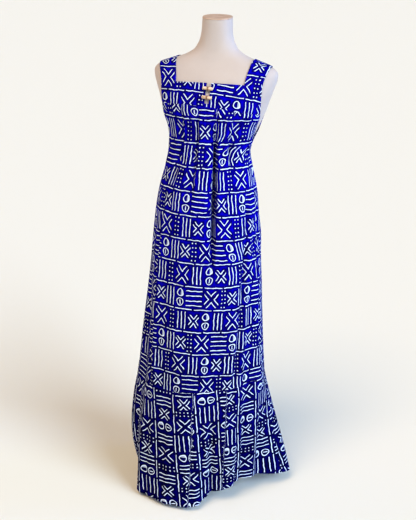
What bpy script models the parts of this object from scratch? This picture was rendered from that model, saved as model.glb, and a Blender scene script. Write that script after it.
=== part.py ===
"""Sleeveless maxi dress, square neck and bottom flounce, on a limbless dress form.

Metres, +Z up. The origin is the centre of the stand's underside. The front of
the dress faces -Y, and the wearer's left side is at +X. Every cloth panel is a
thin wall whose outer face is worked out from a few tables of sections and
folds, and whose inner face is that same face moved inwards.
"""
import math
from collections import namedtuple

import bmesh
import bpy
from mathutils import Vector

# Cloth and seams
CLOTH = 0.0016            # wall of a panel
SEAM_GAP = 0.0003         # space left between two pieces that meet
EASE_BAND = 0.0040        # outer face of the yoke band above the form
EASE_STRAP = 0.0026       # outer face of a strap above the form

# Yoke, neckline and straps
YOKE_HALF = 0.147         # centre front to the armhole edge along the yoke seam
YOKE_SEAM_FRONT = 1.296   # height of the yoke seam at centre front
YOKE_SEAM_BACK = 1.300    # and at centre back
YOKE_SEAM_DROP = 0.0135   # how much lower the seam is at the armhole edges
YOKE_SEAM_TILT = 0.071    # its fall for each metre towards +X, as the dress hangs
NECK_HALF = 0.103         # half the width of the square neck
NECK_HALF_TOP = 0.118     # inner edge of a strap on the shoulder
STRAP_OUT_LOW = 0.152     # outer edge of a strap level with the chest
STRAP_OUT_TOP = 0.172     # outer edge of a strap on the shoulder
SLIT_HALF = 0.0065        # half the width of the centre front slit
SLIT_FOOT = 1.304         # height of the foot of the slit
FAN_HEIGHT = 1.345        # above this height a strap is laid round the shoulder
NECK_ANGLE_FRONT = 10.0   # degrees above the chest where the front neckline runs
NECK_ANGLE_BACK = 14.0    # and the same for the back neckline

# Armholes and side seams
AXIS_Y = -0.015           # side seams lie in the plane at this depth
ARMHOLE_FOOT = 1.176      # height where a side seam starts, under the armhole
HUG_END = 1.262           # below this height the skirt leaves the form
HANG_START = 1.160        # below this height it hangs free of it
FORM_CLEAR = 0.0062       # least space from the form to a panel's outer face
FULLNESS = 0.0100         # how far the cloth between the tucks stands out
FULLNESS_TOP = 1.285      # height where that fullness starts
FULLNESS_FULL = 1.225     # where it is whole
FULLNESS_END = 0.900      # and where it has run out
FULLNESS_SPAN = 30.0      # degrees to each side of centre front and back

# Flounce seam and hem
FLOUNCE_SEAM = 0.410      # height of the flounce seam on the centre line
FLOUNCE_TILT = 0.090      # rise of that seam for each metre towards +X

SWELL_POWER = 1.2         # above 1 the flounce swells out below its middle
WAVE_POWER = 1.3          # above 1 the flounce's waves gather towards the hem

# Form and stand
NECK_TOP = 1.546          # height of the top of the neck on its axis
NECK_CAP = 0.004          # thickness of the cap on the neck
NECK_LEAN = -0.13         # slope of the top of the neck, lower at the front
FORM_SQUARENESS = 2.25    # exponent of the form's rounded sections
FORM_FOOT = 0.705         # height of the flat underside of the form
FOOT_ROUNDING = 0.003     # how far the form's lower edge is drawn in
NECK_ROUNDING = 0.0006    # and its upper one
BASE_THICK = 0.008        # flat cross that stands on the floor
BASE_REACH = 0.158        # centre to the end of a foot
BASE_EDGE = 0.0015        # broken edge of the cross
FOOT_HALF = 0.017         # half the width of a foot
POLE_RADIUS = 0.0125      # upright tube
COLLAR_RADIUS = 0.030     # collar at the foot of the pole
COLLAR_THICK = 0.006
COLLAR_SLEEVE = 0.016     # radius of the sleeve above the collar
COLLAR_HEIGHT = 0.042
FLANGE_RADIUS = 0.045     # plate at its head, under the form
FLANGE_THICK = 0.004
FLANGE_SLEEVE = 0.017     # radius of the sleeve below the plate
FLANGE_HEIGHT = 0.030
SLEEVE_EDGE = 0.002       # sloping end of a sleeve

# Toggles
TOGGLE_LENGTH = 0.032
TOGGLE_RADIUS = 0.0050
TOGGLE_HEIGHTS = (1.3440, 1.3195)
TOGGLE_TILT = 4.0         # degrees, wearer's left end lower

FormSection = namedtuple("FormSection", "height half_width front back")
SkirtSection = namedtuple("SkirtSection", "height half_width half_depth centre_x centre_y")
HemPoint = namedtuple("HemPoint", "angle radius height bulge")
Fold = namedtuple("Fold", "angle half_angle depth top full fade end")
Wave = namedtuple("Wave", "angle half_angle depth")
CapLayer = namedtuple("CapLayer", "inset rise")
ToggleStation = namedtuple("ToggleStation", "along radius")

# Rounded sections of the form, from its underside to the top of the neck
FORM_SECTIONS = (
    FormSection(0.705, 0.1500, 0.108, 0.108),
    FormSection(0.780, 0.1570, 0.112, 0.112),
    FormSection(0.860, 0.1600, 0.112, 0.112),
    FormSection(0.930, 0.1520, 0.108, 0.108),
    FormSection(1.000, 0.1340, 0.100, 0.094),
    FormSection(1.070, 0.1160, 0.092, 0.077),
    FormSection(1.120, 0.1110, 0.090, 0.072),
    FormSection(1.170, 0.1150, 0.098, 0.076),
    FormSection(1.220, 0.1360, 0.113, 0.090),
    FormSection(1.270, 0.1570, 0.121, 0.096),
    FormSection(1.310, 0.1700, 0.114, 0.098),
    FormSection(1.345, 0.1820, 0.099, 0.096),
    FormSection(1.375, 0.1905, 0.083, 0.088),
    FormSection(1.395, 0.1880, 0.070, 0.078),
    FormSection(1.410, 0.1690, 0.062, 0.070),
    FormSection(1.424, 0.1300, 0.056, 0.064),
    FormSection(1.438, 0.0930, 0.052, 0.061),
    FormSection(1.452, 0.0700, 0.049, 0.058),
    FormSection(1.470, 0.0570, 0.047, 0.054),
    FormSection(1.490, 0.0495, 0.046, 0.049),
    FormSection(1.520, 0.0460, 0.046, 0.044),
    FormSection(1.548, 0.0455, 0.047, 0.042),
)
FORM_RINGS = (0.707, 0.74, 0.78, 0.82, 0.86, 0.90, 0.94, 0.98, 1.02, 1.06, 1.095, 1.13,
              1.165, 1.20, 1.235, 1.27, 1.305, 1.335, 1.36, 1.38, 1.394, 1.406, 1.417,
              1.428, 1.44, 1.453, 1.47, 1.495, 1.52, 1.541)

# Level sections of the hanging skirt, below the yoke
SKIRT_SECTIONS = (
    SkirtSection(1.300, 0.1520, 0.108, -0.002, -0.012),
    SkirtSection(1.230, 0.1390, 0.106, -0.006, -0.018),
    SkirtSection(1.160, 0.1286, 0.106, -0.007, -0.021),
    SkirtSection(1.100, 0.1380, 0.120, -0.006, -0.024),
    SkirtSection(1.030, 0.1535, 0.138, -0.006, -0.026),
    SkirtSection(0.898, 0.1690, 0.157, -0.005, -0.030),
    SkirtSection(0.762, 0.1815, 0.169, -0.005, -0.033),
    SkirtSection(0.622, 0.1937, 0.176, -0.005, -0.036),
    SkirtSection(0.480, 0.2053, 0.182, -0.005, -0.038),
    SkirtSection(0.360, 0.2180, 0.188, -0.005, -0.038),
)

# Tucks released below the yoke and the soft folds lower down. Angles run round
# the body from +X. A fold starts at top, is deepest from full down to fade, and
# is gone at end. A negative depth is a ridge.
SKIRT_FOLDS = (
    Fold(285.0, 4.6, 0.0130, 1.272, 1.215, 1.05, 0.80),
    Fold(255.0, 4.6, 0.0080, 1.268, 1.195, 1.12, 0.95),
    Fold(311.0, 4.2, 0.0085, 1.262, 1.215, 1.18, 1.03),
    Fold(229.0, 4.2, 0.0095, 1.262, 1.215, 1.17, 1.02),
    Fold(325.0, 8.0, 0.0090, 0.950, 0.66, 0.45, 0.20),
    Fold(338.0, 6.0, -0.0060, 0.900, 0.62, 0.45, 0.20),
    Fold(229.0, 7.0, -0.0070, 0.880, 0.60, 0.45, 0.20),
    Fold(213.0, 8.0, 0.0120, 0.860, 0.60, 0.45, 0.20),
    Fold(292.0, 8.0, 0.0050, 0.780, 0.52, 0.45, 0.20),
    Fold(262.0, 9.0, -0.0040, 0.820, 0.56, 0.45, 0.20),
    Fold(72.0, 4.6, 0.0090, 1.268, 1.200, 1.10, 0.86),
    Fold(106.0, 4.6, 0.0100, 1.268, 1.200, 1.08, 0.82),
    Fold(48.0, 9.0, 0.0080, 0.930, 0.62, 0.45, 0.20),
    Fold(90.0, 9.0, -0.0060, 0.930, 0.60, 0.45, 0.20),
    Fold(128.0, 8.0, 0.0090, 0.900, 0.60, 0.45, 0.20),
    Fold(156.0, 7.0, -0.0060, 0.860, 0.58, 0.45, 0.20),
)

# The hem seen from above: polar points round the side seam plane, the height of
# the hem there, and how far the flounce swells above it
HEM_OUTLINE = (
    HemPoint(0.0, 0.280, 0.046, 0.000),
    HemPoint(9.0, 0.310, 0.037, 0.000),
    HemPoint(18.0, 0.272, 0.036, 0.002),
    HemPoint(30.0, 0.234, 0.038, 0.004),
    HemPoint(45.0, 0.236, 0.036, 0.004),
    HemPoint(60.0, 0.208, 0.034, 0.006),
    HemPoint(76.0, 0.204, 0.032, 0.004),
    HemPoint(90.0, 0.182, 0.032, 0.006),
    HemPoint(104.0, 0.200, 0.030, 0.004),
    HemPoint(119.0, 0.194, 0.030, 0.006),
    HemPoint(134.0, 0.222, 0.030, 0.006),
    HemPoint(150.0, 0.214, 0.030, 0.010),
    HemPoint(165.0, 0.228, 0.030, 0.020),
    HemPoint(180.0, 0.220, 0.030, 0.028),
    HemPoint(194.0, 0.208, 0.028, 0.032),
    HemPoint(210.0, 0.220, 0.021, 0.023),
    HemPoint(227.0, 0.257, 0.018, 0.006),
    HemPoint(242.0, 0.256, 0.018, 0.002),
    HemPoint(258.0, 0.257, 0.018, 0.000),
    HemPoint(272.0, 0.254, 0.018, 0.000),
    HemPoint(282.0, 0.233, 0.024, 0.000),
    HemPoint(292.0, 0.208, 0.038, 0.002),
    HemPoint(303.0, 0.196, 0.052, 0.006),
    HemPoint(314.0, 0.198, 0.062, 0.008),
    HemPoint(326.0, 0.208, 0.066, 0.006),
    HemPoint(338.0, 0.216, 0.064, 0.002),
    HemPoint(349.0, 0.236, 0.058, 0.000),
)

# Smaller waves of the flounce, deepest at the hem
FLOUNCE_WAVES = (
    Wave(291.0, 6.0, 0.018),
    Wave(327.0, 5.5, 0.017),
    Wave(213.0, 7.0, 0.018),
    Wave(243.0, 6.0, 0.008),
    Wave(266.0, 6.5, 0.009),
    Wave(309.0, 5.5, -0.008),
    Wave(345.0, 5.5, 0.011),
    Wave(22.0, 6.5, 0.012),
    Wave(40.0, 7.0, -0.007),
    Wave(57.0, 6.5, 0.012),
    Wave(88.0, 7.0, 0.012),
    Wave(117.0, 6.5, 0.011),
    Wave(136.0, 7.0, -0.006),
    Wave(154.0, 6.5, 0.010),
    Wave(194.0, 6.0, 0.006),
)

# The cap on the neck: how far each of its layers is drawn in, and its rise
CAP_LAYERS = (
    CapLayer(0.0012, SEAM_GAP),
    CapLayer(0.0004, SEAM_GAP + 0.0012),
    CapLayer(0.0006, NECK_CAP - 0.0008),
    CapLayer(0.0026, NECK_CAP),
)

# One half of a toggle's profile, in shares of its length and radius
TOGGLE_PROFILE = (
    ToggleStation(0.05, 0.70),
    ToggleStation(0.10, 0.92),
    ToggleStation(0.25, 1.00),
    ToggleStation(0.40, 0.95),
    ToggleStation(0.47, 0.72),
    ToggleStation(0.50, 0.35),
)

# Counts of facets, and how they are spread
FORM_SIDES = 40
POLE_SIDES = 20
TOGGLE_SIDES = 12
FOOT_TIP_CELLS = 6
YOKE_STRAP_CELLS = 4
YOKE_NECK_CELLS = 6
STRAP_CROWDING = 0.8      # below 1 the strap's cells are narrower at the armhole
BAND_ROWS = 3
STRAP_ANGLES = (22.0, 34.0, 46.0, 57.0, 68.0, 79.0, 90.0)
SEAM_CELLS = 2            # skirt cells along each cell of the yoke's edge
ARMHOLE_CELLS = 3
ARMHOLE_CROWDING = 0.85   # below 1 the armhole's edge drops faster at its top
SKIRT_ROWS = 14
SKIRT_CROWDING = 1.25     # above 1 the rows are closer under the yoke
FLOUNCE_CELLS = 56
FLOUNCE_ROWS = 7

# Steps used to find slopes and crossings
HALVINGS = 34             # of the way from the axis to the form's surface
FORM_REACH = 0.4          # a distance from the axis that is outside the form
PROBE = 0.0008            # to each side, for the form's slope
TURN_PROBE = 0.6          # degrees to each side, for a panel's slope
HEIGHT_PROBE = 0.004      # up and down, for the skirt's slope
SHARE_PROBE = 0.015       # up and down, for the flounce's slope
SHARE_MARGIN = 0.02       # least share from its edges where that slope is read
SHARP_ANGLE = 50.0        # degrees above which an edge is shaded sharp


def smooth_step(value):
    """Ease from 0 to 1 while value runs from 0 to 1."""
    value = min(1.0, max(0.0, value))
    return value * value * (3.0 - 2.0 * value)


def mix(low, high, share):
    """Number or vector between low and high."""
    return low + (high - low) * share


def hermite(before, start, end, after, gaps, share):
    """Smooth curve from start to end whose slopes come from the points beside them."""
    gap_before, gap, gap_after = gaps
    slope = (end - start) / gap
    slope_before = (start - before) / gap_before if gap_before else slope
    slope_after = (after - end) / gap_after if gap_after else slope
    tangent_start = 0.5 * (slope_before + slope) * gap
    tangent_end = 0.5 * (slope + slope_after) * gap
    square = share * share
    cube = square * share
    return (start * (2 * cube - 3 * square + 1) + tangent_start * (cube - 2 * square + share)
            + end * (3 * square - 2 * cube) + tangent_end * (cube - square))


def read_table(rows, key, looped=0.0):
    """Row of a table at any key, smoothly between its rows.

    The key is each row's first column, in rising order. looped is the length of
    one turn for a table that runs round a circle, or 0 for one with two ends.
    """
    rows = list(rows)
    if looped:
        rows = [rows[-1]._replace(angle=rows[-1].angle - looped), *rows]
        rows.extend((rows[1]._replace(angle=rows[1].angle + looped),
                     rows[2]._replace(angle=rows[2].angle + looped)))
        key = key % looped
    key = min(max(key, rows[0][0]), rows[-1][0])
    index = 0
    while index < len(rows) - 2 and rows[index + 1][0] <= key:
        index += 1
    row, following = rows[index], rows[index + 1]
    before = rows[index - 1] if index else row
    after = rows[index + 2] if index + 2 < len(rows) else following
    gaps = (row[0] - before[0], following[0] - row[0], after[0] - following[0])
    share = (key - row[0]) / gaps[1]
    values = [hermite(*columns, gaps, share)
              for columns in zip(before[1:], row[1:], following[1:], after[1:])]
    return type(row)(key, *values)


RISING_SKIRT_SECTIONS = SKIRT_SECTIONS[::-1]


def form_excess(point):
    """How far outside the form a point is: below 0 inside it, 0 on its surface."""
    if point.z > FORM_SECTIONS[-1].height:
        return 1.0
    section = read_table(FORM_SECTIONS, point.z)
    depth = section.front if point.y < 0 else section.back
    across = abs(point.x / section.half_width) ** FORM_SQUARENESS
    return across + abs(point.y / depth) ** FORM_SQUARENESS - 1.0


def form_hit(centre, direction):
    """Point where a line from a centre inside the form leaves it."""
    near, far = 0.0, FORM_REACH
    for _ in range(HALVINGS):
        middle = 0.5 * (near + far)
        if form_excess(centre + direction * middle) < 0:
            near = middle
        else:
            far = middle
    return centre + direction * near


def form_normal(point):
    """Outward direction of the form's surface at a point on it."""
    slopes = []
    for axis in (Vector((PROBE, 0, 0)), Vector((0, PROBE, 0)), Vector((0, 0, PROBE))):
        slopes.append(form_excess(point + axis) - form_excess(point - axis))
    return Vector(slopes).normalized()


def form_point_at(x, height, side):
    """Point of the form's front (side -1) or back (side 1) at x and a height."""
    section = read_table(FORM_SECTIONS, height)
    depth = section.front if side < 0 else section.back
    share = 1.0 - abs(x / section.half_width) ** FORM_SQUARENESS
    return Vector((x, side * depth * max(share, 0.0) ** (1.0 / FORM_SQUARENESS), height))


def heading(angle):
    """Level unit direction at an angle in degrees from +X."""
    turn = math.radians(angle)
    return Vector((math.cos(turn), math.sin(turn), 0.0))


def skirt_ring_point(angle, height):
    """Point of the freely hanging skirt, before its folds."""
    section = read_table(RISING_SKIRT_SECTIONS, height)
    way = heading(angle)
    start_x = -section.centre_x / section.half_width
    start_y = (AXIS_Y - section.centre_y) / section.half_depth
    way_x = way.x / section.half_width
    way_y = way.y / section.half_depth
    square = way_x ** 2 + way_y ** 2
    half = start_x * way_x + start_y * way_y
    constant = start_x ** 2 + start_y ** 2 - 1.0
    radius = (-half + math.sqrt(half * half - square * constant)) / square
    return Vector((0.0, AXIS_Y, height)) + way * radius


def bump(offset, half_width):
    """Rounded trough, 1 in its middle and 0 from twice half_width on."""
    share = min(1.0, abs(offset) / (2.0 * half_width))
    return (1.0 - share * share) ** 2


def turn_between(angle, other):
    """Signed degrees from one angle to another, the short way round."""
    return (angle - other + 180.0) % 360.0 - 180.0


def fold_depth(angle, height):
    """Inward depth of all the skirt's folds at an angle and height."""
    depth = 0.0
    for fold in SKIRT_FOLDS:
        across = bump(turn_between(angle, fold.angle), fold.half_angle)
        if height > fold.full:
            along = smooth_step((fold.top - height) / (fold.top - fold.full))
        else:
            along = smooth_step((height - fold.end) / (fold.fade - fold.end))
        depth += fold.depth * across * along
    return depth


def fullness(angle, height):
    """Outward swell of the cloth that the tucks let out."""
    across = max(bump(turn_between(angle, middle), FULLNESS_SPAN) for middle in (90.0, 270.0))
    if height > FULLNESS_FULL:
        share = (FULLNESS_TOP - height) / (FULLNESS_TOP - FULLNESS_FULL)
    else:
        share = (height - FULLNESS_END) / (FULLNESS_FULL - FULLNESS_END)
    return FULLNESS * across * smooth_step(share)


def skirt_point(angle, height):
    """Outer face of the skirt at an angle and height."""
    way = heading(angle)
    axis = Vector((0.0, AXIS_Y, height))
    hang = smooth_step((HUG_END - height) / (HUG_END - HANG_START))
    point = skirt_ring_point(angle, height)
    foot = form_hit(axis, way) if height > FORM_FOOT else None
    if hang < 1.0:
        hugged = foot + form_normal(foot) * EASE_BAND
        point = mix(hugged, point, hang)
    point += way * (fullness(angle, height) - fold_depth(angle, height))
    if foot is not None and hang > 0.0:
        least = (foot - axis).length + FORM_CLEAR
        reach = (point - axis).dot(way)
        point += way * max(0.0, least - reach) * smooth_step(hang * 20.0)
    return point


def flounce_seam_height(x):
    """Height of the tilted flounce seam at x."""
    return FLOUNCE_SEAM + FLOUNCE_TILT * x


def flounce_seam_point(angle):
    """Outer face of the skirt on the flounce seam."""
    height = FLOUNCE_SEAM
    for _ in range(6):
        height = flounce_seam_height(skirt_point(angle, height).x)
    return skirt_point(angle, height)


def flounce_point(angle, share):
    """Outer face of the flounce, from its seam (share 0) to the hem (share 1)."""
    top = flounce_seam_point(angle)
    hem = read_table(HEM_OUTLINE, angle, looped=360.0)
    top_radius = (top - Vector((0.0, AXIS_Y, top.z))).length
    wave = sum(item.depth * bump(turn_between(angle, item.angle), item.half_angle)
               for item in FLOUNCE_WAVES)
    swell = hem.bulge * math.sin(math.pi * share ** SWELL_POWER)
    radius = mix(top_radius, hem.radius, share) + swell - wave * share ** WAVE_POWER
    height = mix(top.z, hem.height, share)
    return Vector((0.0, AXIS_Y, height)) + heading(angle) * radius


def surface_normal(surface, angle, level, level_probe):
    """Outward direction of a surface given by angle and level."""
    along = surface(angle + TURN_PROBE, level) - surface(angle - TURN_PROBE, level)
    upward = surface(angle, level + level_probe) - surface(angle, level - level_probe)
    normal = along.cross(upward).normalized()
    return normal if normal.dot(heading(angle)) > 0 else -normal


def flatten(direction, axis):
    """Direction with one axis taken out, so that a seam stays in its plane."""
    direction = direction.copy()
    direction[axis] = 0.0
    return direction.normalized()


def colour(name, red, green, blue, roughness, metallic=0.0):
    """Principled material from colours in display values."""
    material = bpy.data.materials.new(name)
    material.use_nodes = True
    shader = material.node_tree.nodes["Principled BSDF"]
    linear = [((value + 0.055) / 1.055) ** 2.4 if value > 0.04045 else value / 12.92
              for value in (red, green, blue)]
    shader.inputs["Base Color"].default_value = (*linear, 1.0)
    shader.inputs["Roughness"].default_value = roughness
    shader.inputs["Metallic"].default_value = metallic
    return material


def add_object(name, vertices, faces, material):
    """Smooth-shaded object from world points and faces, outward faces made sure."""
    mesh = bpy.data.meshes.new(name)
    mesh.from_pydata([tuple(vertex) for vertex in vertices], [], faces)
    shell = bmesh.new()
    shell.from_mesh(mesh)
    bmesh.ops.recalc_face_normals(shell, faces=shell.faces)
    shell.to_mesh(mesh)
    shell.free()
    mesh.shade_smooth()
    mesh.set_sharp_from_angle(angle=math.radians(SHARP_ANGLE))
    mesh.materials.append(material)
    item = bpy.data.objects.new(name, mesh)
    bpy.context.collection.objects.link(item)
    return item


def add_wall(name, outer, inner, cells, material):
    """Closed wall between an outer and an inner face that share one set of cells.

    outer and inner map a grid place (column, row) to a point. cells lists the
    (column, row) of the lower left corner of each cell that is cloth.
    """
    places = sorted({corner for column, row in cells
                     for corner in ((column, row), (column + 1, row),
                                    (column + 1, row + 1), (column, row + 1))})
    number = {place: index for index, place in enumerate(places)}
    vertices = [outer[place] for place in places] + [inner[place] for place in places]
    shift = len(places)
    faces, sides = [], {}
    for column, row in cells:
        ring = [number[(column, row)], number[(column + 1, row)],
                number[(column + 1, row + 1)], number[(column, row + 1)]]
        faces.append(ring)
        faces.append([index + shift for index in reversed(ring)])
        for start, end in zip(ring, ring[1:] + ring[:1]):
            if (end, start) in sides:
                del sides[(end, start)]
            else:
                sides[(start, end)] = True
    for start, end in sides:
        faces.append([end, start, start + shift, end + shift])
    return add_object(name, vertices, faces, material)


def add_stack(name, rings, material):
    """Solid between rings of equally many points, closed at the first and the last."""
    count = len(rings[0])
    vertices = [point for ring in rings for point in ring]
    faces = []
    for low in range(0, (len(rings) - 1) * count, count):
        for step in range(count):
            beside = (step + 1) % count
            faces.append([low + step, low + beside, low + count + beside, low + count + step])
    top = (len(rings) - 1) * count
    faces.append(list(range(count))[::-1])
    faces.append([top + step for step in range(count)])
    return add_object(name, vertices, faces, material)


def turned_ring(radius, height, sides):
    """Points of a circle round the upright axis."""
    return [heading(360.0 * step / sides) * radius + Vector((0.0, 0.0, height))
            for step in range(sides)]


def yoke_columns():
    """Column shares of a yoke: -2 and 2 at the armholes, -1 and 1 at the strap's inner edges."""
    slit = SLIT_HALF / NECK_HALF
    strap = [1.0 + (step / YOKE_STRAP_CELLS) ** STRAP_CROWDING
             for step in range(YOKE_STRAP_CELLS + 1)]
    neck = [slit + (1.0 - slit) * step / YOKE_NECK_CELLS for step in range(YOKE_NECK_CELLS)]
    right = neck + strap
    return [-share for share in reversed(right)] + right


def yoke_x(share, strap_in, strap_out):
    """x of a yoke column between the edges of its row."""
    size = abs(share)
    x = size * strap_in if size <= 1.0 else mix(strap_in, strap_out, size - 1.0)
    return math.copysign(x, share)


def yoke_rows(side, seam_height, neck_angle):
    """Outer and inner points of a yoke for every column, row by row from the seam."""
    shares = yoke_columns()
    outer, inner = {}, {}

    def put(column, row, base, ease, seam_axis=None):
        normal = form_normal(base)
        if seam_axis is not None:
            normal = flatten(normal, seam_axis)
        outer[(column, row)] = base + normal * ease
        inner[(column, row)] = base + normal * (ease - CLOTH)

    def seam_at(x):
        return seam_height - YOKE_SEAM_DROP * (x / YOKE_HALF) ** 2 - YOKE_SEAM_TILT * x

    for column, share in enumerate(shares):
        for row in range(BAND_ROWS + 1):
            level = row / BAND_ROWS
            x = yoke_x(share, NECK_HALF, mix(YOKE_HALF, STRAP_OUT_LOW, level))
            foot = seam_at(x)
            lower = foot + SLIT_FOOT - YOKE_SEAM_FRONT
            height = foot if row == 0 else mix(lower, FAN_HEIGHT, (row - 1) / (BAND_ROWS - 1))
            put(column, row, form_point_at(x, height, side), EASE_BAND,
                seam_axis=2 if row == 0 else None)
        angles = [neck_angle] + ([*STRAP_ANGLES] if abs(share) >= 1.0 else [])
        for step, angle in enumerate(angles):
            rise = smooth_step(angle / 90.0)
            x = yoke_x(share, mix(NECK_HALF, NECK_HALF_TOP, rise),
                       mix(STRAP_OUT_LOW, STRAP_OUT_TOP, rise))
            turn = math.radians(angle)
            way = Vector((0.0, side * math.cos(turn), math.sin(turn)))
            base = form_hit(Vector((x, 0.0, FAN_HEIGHT)), way)
            top = angle == STRAP_ANGLES[-1]
            put(column, BAND_ROWS + 1 + step, base, mix(EASE_BAND, EASE_STRAP, rise),
                seam_axis=1 if top else None)
    shoulder = BAND_ROWS + 1 + len(STRAP_ANGLES)
    for points in (outer, inner):
        for place, point in points.items():
            if place[1] == shoulder:
                point.y = side * SEAM_GAP / 2
            if place[1] == 0:
                point.z += SEAM_GAP / 2
    return shares, outer, inner


def yoke_cells(shares, slit):
    """Cells of a yoke: the band, and the two straps above it."""
    middle = len(shares) // 2 - 1
    cells = []
    for column in range(len(shares) - 1):
        inner_share = min(abs(shares[column]), abs(shares[column + 1]))
        rows = BAND_ROWS + 1
        if inner_share >= 1.0 and column != middle:
            rows += len(STRAP_ANGLES)
        if column == middle and slit:
            rows = 1
        cells.extend((column, row) for row in range(rows))
    return cells


def seam_line(points, shares):
    """Points of a yoke's lower edge from one armhole to the other."""
    return [points[(column, 0)] for column in range(len(shares))]


def along_line(line, position):
    """Point at a fractional index of a line of points."""
    index = min(int(position), len(line) - 2)
    return mix(line[index], line[index + 1], position - index)


def skirt_panel(name, side, yoke_outer, yoke_inner, shares, material):
    """Front (side -1) or back (side 1) of the skirt, between its yoke and flounce."""
    line_outer = seam_line(yoke_outer, shares)
    line_inner = seam_line(yoke_inner, shares)
    drop = Vector((0.0, 0.0, -SEAM_GAP))
    columns = []
    for step in range(SEAM_CELLS * (len(shares) - 1) + 1):
        position = step / SEAM_CELLS
        point = along_line(line_outer, position) + drop
        columns.append((angle_of(point), point, along_line(line_inner, position) + drop))
    for corner in (0, -1):
        corner_angle = columns[corner][0]
        side_angle = 180.0 if line_outer[corner].x < 0 else (360.0 if side < 0 else 0.0)
        extra = []
        for step in range(1, ARMHOLE_CELLS + 1):
            share = step / ARMHOLE_CELLS
            height = mix(columns[corner][1].z, ARMHOLE_FOOT, share ** ARMHOLE_CROWDING)
            extra.append((mix(corner_angle, side_angle, share), height))
        points = []
        for angle, height in extra:
            point = skirt_point(angle, height)
            normal = surface_normal(skirt_point, angle, height, HEIGHT_PROBE)
            if angle in (0.0, 180.0, 360.0):
                normal = flatten(normal, 1)
            points.append((angle, point, point - normal * CLOTH))
        columns = points[::-1] + columns if corner == 0 else columns + points
    outer, inner = {}, {}
    for column, (angle, top_outer, top_inner) in enumerate(columns):
        edge = column in (0, len(columns) - 1)
        foot = flounce_seam_point(angle)
        for row in range(SKIRT_ROWS + 1):
            share = (row / SKIRT_ROWS) ** SKIRT_CROWDING
            height = mix(top_outer.z, foot.z, share)
            if row == 0:
                face, back = top_outer.copy(), top_inner.copy()
            else:
                face = skirt_point(angle, height)
                normal = surface_normal(skirt_point, angle, height, HEIGHT_PROBE)
                if edge:
                    normal = flatten(normal, 1)
                if row == SKIRT_ROWS:
                    normal = flatten(normal, 2)
                back = face - normal * CLOTH
            if row == SKIRT_ROWS:
                face.z = flounce_seam_height(face.x) + SEAM_GAP / 2
                back.z = flounce_seam_height(back.x) + SEAM_GAP / 2
            if edge:
                face.y = back.y = AXIS_Y + side * SEAM_GAP / 2
            outer[(column, row)] = face
            inner[(column, row)] = back
    cells = [(column, row) for column in range(len(columns) - 1) for row in range(SKIRT_ROWS)]
    return add_wall(name, outer, inner, cells, material)


def angle_of(point):
    """Angle of a point round the side seam plane, 0 to 360 degrees."""
    return math.degrees(math.atan2(point.y - AXIS_Y, point.x)) % 360.0


def flounce_panel(name, side, material):
    """Front (side -1) or back (side 1) of the flounce, down to the hem."""
    start = 180.0 if side < 0 else 0.0
    outer, inner = {}, {}
    for column in range(FLOUNCE_CELLS + 1):
        angle = start + 180.0 * column / FLOUNCE_CELLS
        edge = column in (0, FLOUNCE_CELLS)
        for row in range(FLOUNCE_ROWS + 1):
            share = row / FLOUNCE_ROWS
            face = flounce_point(angle, share)
            level = min(max(share, SHARE_MARGIN), 1.0 - SHARE_MARGIN)
            normal = surface_normal(flounce_point, angle, level, SHARE_PROBE)
            if edge:
                normal = flatten(normal, 1)
            if row == 0:
                normal = flatten(normal, 2)
            back = face - normal * CLOTH
            if row == 0:
                face.z = flounce_seam_height(face.x) - SEAM_GAP / 2
                back.z = flounce_seam_height(back.x) - SEAM_GAP / 2
            if edge:
                face.y = back.y = AXIS_Y + side * SEAM_GAP / 2
            outer[(column, row)] = face
            inner[(column, row)] = back
    cells = [(column, row) for column in range(FLOUNCE_CELLS) for row in range(FLOUNCE_ROWS)]
    return add_wall(name, outer, inner, cells, material)


def form_ring(height, inset=0.0):
    """Points round the form at a height, drawn in by an inset."""
    section = read_table(FORM_SECTIONS, height)
    points = []
    for step in range(FORM_SIDES):
        turn = 2 * math.pi * step / FORM_SIDES
        across, along = math.cos(turn), math.sin(turn)
        depth = section.front if along < 0 else section.back
        power = 2.0 / FORM_SQUARENESS
        x = math.copysign(abs(across) ** power, across) * (section.half_width - inset)
        y = math.copysign(abs(along) ** power, along) * (depth - inset)
        points.append(Vector((x, y, height)))
    return points


def neck_top(point, rise=0.0):
    """Point laid on the sloping plane at the top of the neck."""
    return Vector((point.x, point.y, NECK_TOP + rise - NECK_LEAN * point.y))


def add_form(material, cap_material):
    """The smooth form and the cap on its neck."""
    rings = [form_ring(FORM_FOOT, inset=FOOT_ROUNDING)]
    rings.extend(form_ring(height) for height in FORM_RINGS)
    rings.append([neck_top(point) for point in form_ring(NECK_TOP, inset=NECK_ROUNDING)])
    add_stack("form_torso", rings, material)
    layers = [[neck_top(point, layer.rise) for point in form_ring(NECK_TOP, inset=layer.inset)]
              for layer in CAP_LAYERS]
    add_stack("form_neck_cap", layers, cap_material)


def cross_ring(height, inset):
    """Outline of the flat cross at a height, drawn in by an inset."""
    half = FOOT_HALF - inset
    points = []
    for foot in range(4):
        way = heading(90.0 * foot)
        across = heading(90.0 * foot + 90.0)
        points.append(way * half - across * half)
        centre = way * (BASE_REACH - FOOT_HALF)
        for step in range(FOOT_TIP_CELLS + 1):
            turn = math.radians(-90.0 + 180.0 * step / FOOT_TIP_CELLS)
            points.append(centre + (way * math.cos(turn) + across * math.sin(turn)) * half)
    return [point + Vector((0.0, 0.0, height)) for point in points]


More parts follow.
